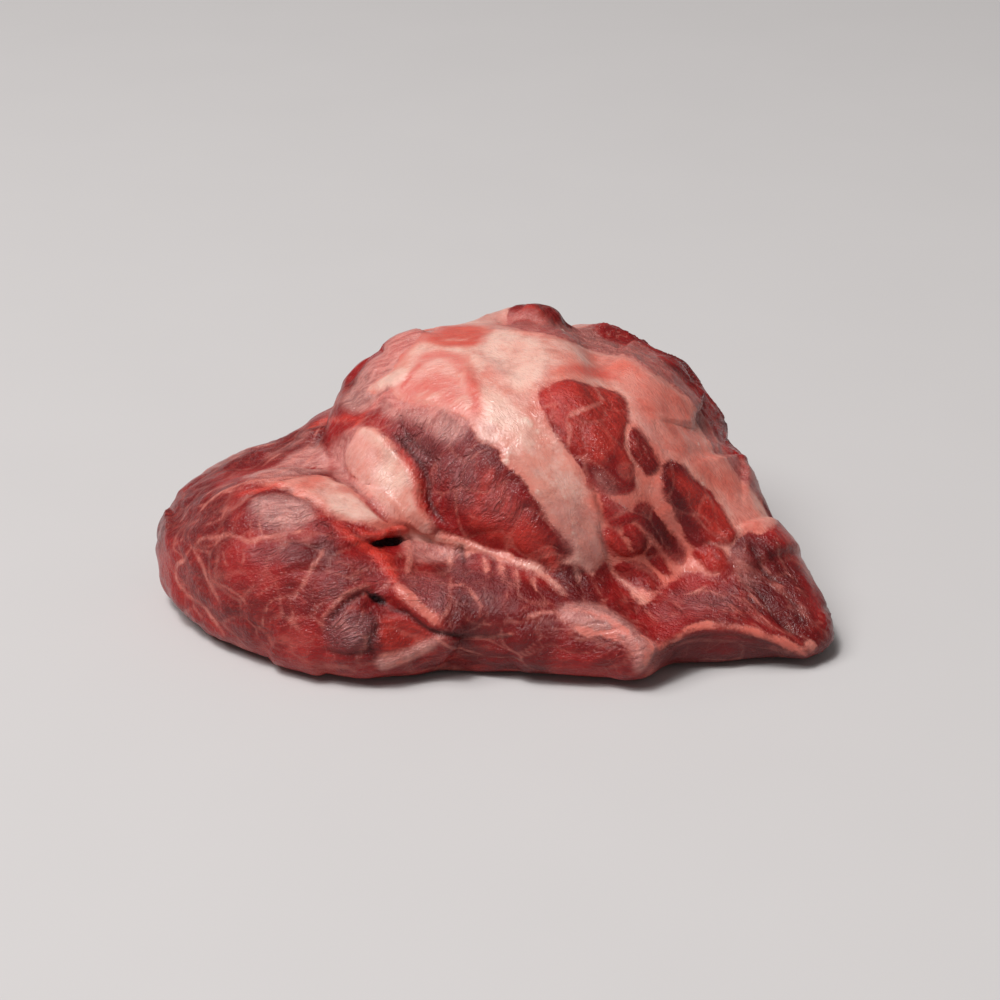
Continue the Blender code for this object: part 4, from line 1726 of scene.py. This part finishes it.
    def _bump(self, f: Finish, layers: Layers) -> None:
        """Add fine relief: wrinkles in the silver skin, strands of fibre and grit.

        Args:
            f: the material.
            layers: its tissues and noise.
        """
        folds = f.times(layers.wrinkles, f.plus(f.times(layers.silverskin_sheen, -0.42), -0.08))
        strands = f.times(layers.fibres, f.step(layers.fascia, 0.0, 1.0, 0.05, 0.34))
        grit = f.times(layers.grit, f.step(layers.fascia, 0.0, 1.0, 0.12, 0.40))
        height_mm = f.plus(f.plus(folds, strands), grit)
        bent = f.node("Bump", {"Distance": MM, "Height": height_mm}).outputs["Normal"]
        for name in ("Normal", "Coat Normal"):
            f.join(bent, f.shader.inputs[name])


@dataclass
class BeefCheek:
    """The one piece: its skin, its relief and its finish."""

    name: str = "cheek_meat"
    node: str = "beef_cheek"
    body: str = "root"
    slot: str = "raw_meat"
    marks: tuple[Mark, ...] = MARKS
    finish: MeatFinish = MeatFinish()
    # Below this height the skin keeps the solid's flat underside.
    flat_below: float = 0.0006
    free_above: float = 0.0035
    # Bundles of muscle: their width, rise, rise under the sheet as a share, and how far they are drawn
    # out along the grain and bent by noise.
    bundle_mm: float = 9.0
    bundle_rise_mm: float = 0.60
    bundle_hidden: float = 0.25
    bundle_stretch: float = 0.55
    bundle_bend: float = 0.35
    bend_mm: float = 11.0
    seam_width: float = 0.16
    # Folds in the silver skin: their width, rise, how far they are drawn out and how sharp they are.
    fold_mm: float = 2.6
    fold_rise_mm: float = 0.30
    fold_stretch: float = 0.65
    fold_sharpness: float = 2.2
    # Lumps: the width and the rise of each kind.
    lumps_mm: tuple[tuple[float, float], ...] = ((7.0, 0.25), (3.0, 0.12))
    # Without a fixed seed, Blender's vector noise differs from run to run.
    noise_seed: int = 5

    def build(self, solid: bpy.types.Object) -> bpy.types.Object:
        """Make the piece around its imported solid.

        Args:
            solid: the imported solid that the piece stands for.

        Returns:
            The finished object.
        """
        skin = Skin()
        skin.build(solid)
        log.info("skin: %d cells", len(skin.mesh.polygons))
        tissues = TissueMap(skin)
        tissues.lay(self.marks)
        log.info("marks: %d", len(self.marks))
        self._raise(skin, tissues, solid)
        for tissue, cover in tissues.covers.items():
            if tissue not in (Tissue.WINDOW, Tissue.FORM):
                layer = skin.mesh.attributes.new(tissue.value, "FLOAT", "POINT")
                layer.data.foreach_set("value", cover.astype(np.float32))
        piece = bpy.data.objects.new(self.name, skin.mesh)
        bpy.context.scene.collection.objects.link(piece)
        piece.data.materials.clear()
        piece.data.materials.append(self.finish.material())
        return piece

    def _unevenness_mm(self, skin: Skin, tissues: TissueMap) -> np.ndarray:
        """Bundles of muscle, folds in the silver skin and lumps, as a height at each vertex.

        Args:
            skin: the skin that they are on.
            tissues: its tissues, which say where bundles and folds show.

        Returns:
            The height at each vertex, in millimetres.
        """
        noise.seed_set(self.noise_seed)
        bare = 1.0 - ease(tissues.covers[Tissue.FASCIA] / 2.0 + 0.5)
        silverskin_sheen = tissues.covers[Tissue.SILVERSKIN_SHEEN]
        grain = np.array([Grain.LEVEL] * len(skin.places))
        for tissue, way in ((Tissue.RISING, Grain.RISING), (Tissue.FALLING, Grain.FALLING)):
            share = tissues.covers[tissue][:, None]
            grain = grain * (1.0 - share) + np.array(way) * share
        grain /= np.linalg.norm(grain, axis=1, keepdims=True)
        along = (skin.places * grain).sum(axis=1, keepdims=True) * grain
        lumps = [
            rise * np.array([noise.noise(Vector(place) / (size * MM)) for place in skin.places])
            for size, rise in self.lumps_mm
        ]
        bends = [noise.noise_vector(Vector(place) / (self.bend_mm * MM))[:] for place in skin.places]
        drawn = (skin.places - along * self.bundle_stretch) / (self.bundle_mm * MM)
        drawn = drawn + np.array(bends) * self.bundle_bend
        cells = np.array([noise.voronoi(Vector(place))[0][:2] for place in drawn])
        gaps = cells[:, 1] - cells[:, 0]
        tissues.covers[Tissue.SEAM] = np.clip(1.0 - gaps / self.seam_width, 0.0, 1.0)
        shown = self.bundle_hidden + (1.0 - self.bundle_hidden) * bare
        bundles = self.bundle_rise_mm * ease(gaps * 2.0) * shown
        drawn = (skin.places - along * self.fold_stretch) / (self.fold_mm * MM)
        creased = np.abs(np.array([noise.noise(Vector(place)) for place in drawn]))
        folds = self.fold_rise_mm * (1.0 - creased * self.fold_sharpness) * silverskin_sheen
        return sum(lumps, bundles + folds)

    def _raise(self, skin: Skin, tissues: TissueMap, solid: bpy.types.Object) -> None:
        """Move the skin by the relief, and keep it in the solid's box and on its flat underside.

        Args:
            skin: the skin.
            tissues: what lies on it.
            solid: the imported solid.
        """
        height = (tissues.relief_mm + self._unevenness_mm(skin, tissues)) * MM
        height *= ease((skin.places[:, 2] - self.flat_below) / (self.free_above - self.flat_below))
        places = skin.places + skin.normals * height[:, None]
        low, high = (np.array(corner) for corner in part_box(solid.name))
        span_low, span_high = places.min(axis=0), places.max(axis=0)
        places = low + (places - span_low) * (high - low) / (span_high - span_low)
        skin.set_coordinates(places)


@dataclass
class Studio:
    """A pale floor, soft light from the upper left and the camera at the photograph's angle."""

    floor_half_size: float = 4.0
    floor_colour: tuple = paint(203, 199, 198)
    floor_mottle_mm: float = 60.0
    floor_darkest: float = 0.97
    floor_roughness: float = 0.85
    floor_shine: float = 0.2
    # Each lamp: name, place, diameter and power.
    lamps: tuple[tuple[str, tuple[float, float, float], float, float], ...] = (
        ("key", (-1.30, -0.60, 2.90), 2.4, 80.0),
        ("glint", (-0.50, -0.40, 1.60), 0.36, 11.0),
    )
    world_colour: tuple = (1.0, 0.99, 0.98, 1.0)
    world_light: float = 0.17
    near_limit: float = 0.01

    def build(self) -> None:
        """Make the floor, the lights and the camera."""
        mesh = bpy.data.meshes.new("floor")
        grid = bmesh.new()
        bmesh.ops.create_grid(grid, x_segments=8, y_segments=8, size=self.floor_half_size)
        grid.to_mesh(mesh)
        grid.free()
        floor = bpy.data.objects.new("floor", mesh)
        bpy.context.scene.collection.objects.link(floor)
        floor.data.materials.append(self._floor_finish())
        self._light()
        self._camera()

    def _floor_finish(self) -> bpy.types.Material:
        """Make matt pale card with a faint mottle.

        Returns:
            The material.
        """
        f = Finish("pale_card")
        mottle = f.cloud(f.place, self.floor_mottle_mm, 2.0)
        darker = tuple(share * self.floor_darkest for share in self.floor_colour[:3]) + (1.0,)
        f.join(f.blend(mottle, darker, self.floor_colour), f.shader.inputs["Base Color"])
        f.shader.inputs["Roughness"].default_value = self.floor_roughness
        f.shader.inputs["Specular IOR Level"].default_value = self.floor_shine
        return f.material

    def _light(self) -> None:
        """A large soft lamp, a small one for the glints and an even world."""
        scene = bpy.context.scene
        for name, place, size, power in self.lamps:
            lamp = bpy.data.lights.new(name, "AREA")
            lamp.shape = "DISK"
            lamp.size = size
            lamp.energy = power
            holder = bpy.data.objects.new(name, lamp)
            holder.location = place
            holder.rotation_euler = (-Vector(place)).to_track_quat("-Z", "Y").to_euler()
            scene.collection.objects.link(holder)
        world = bpy.data.worlds.new("soft_room")
        world.use_nodes = True
        background = world.node_tree.nodes["Background"]
        background.inputs["Color"].default_value = self.world_colour
        background.inputs["Strength"].default_value = self.world_light
        scene.world = world
        scene.view_settings.view_transform = "Standard"

    def _camera(self) -> None:
        """The camera at the front eye."""
        camera = bpy.data.objects.new("camera", bpy.data.cameras.new("camera"))
        camera.data.lens = FRONT.lens_mm
        camera.data.sensor_width = FRONT.sensor_mm
        camera.data.clip_start = self.near_limit
        camera.location = FRONT.place
        camera.rotation_euler = Vector(-FRONT.backwards).to_track_quat("-Z", "Y").to_euler()
        bpy.context.scene.collection.objects.link(camera)
        bpy.context.scene.camera = camera


def main() -> None:
    """Build the cheek and the studio around it."""
    logging.basicConfig(level=logging.INFO, format="%(name)s: %(message)s")
    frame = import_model()
    cheek = BeefCheek()
    piece = cheek.build(frame["nodes"][cheek.node])
    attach(piece, cheek.body)
    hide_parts(cheek.node)
    log.info("%s: %d faces", piece.name, len(piece.data.polygons))
    Studio().build()
    log.info("studio: floor, light and camera")


if __name__ == "__main__":
    main()
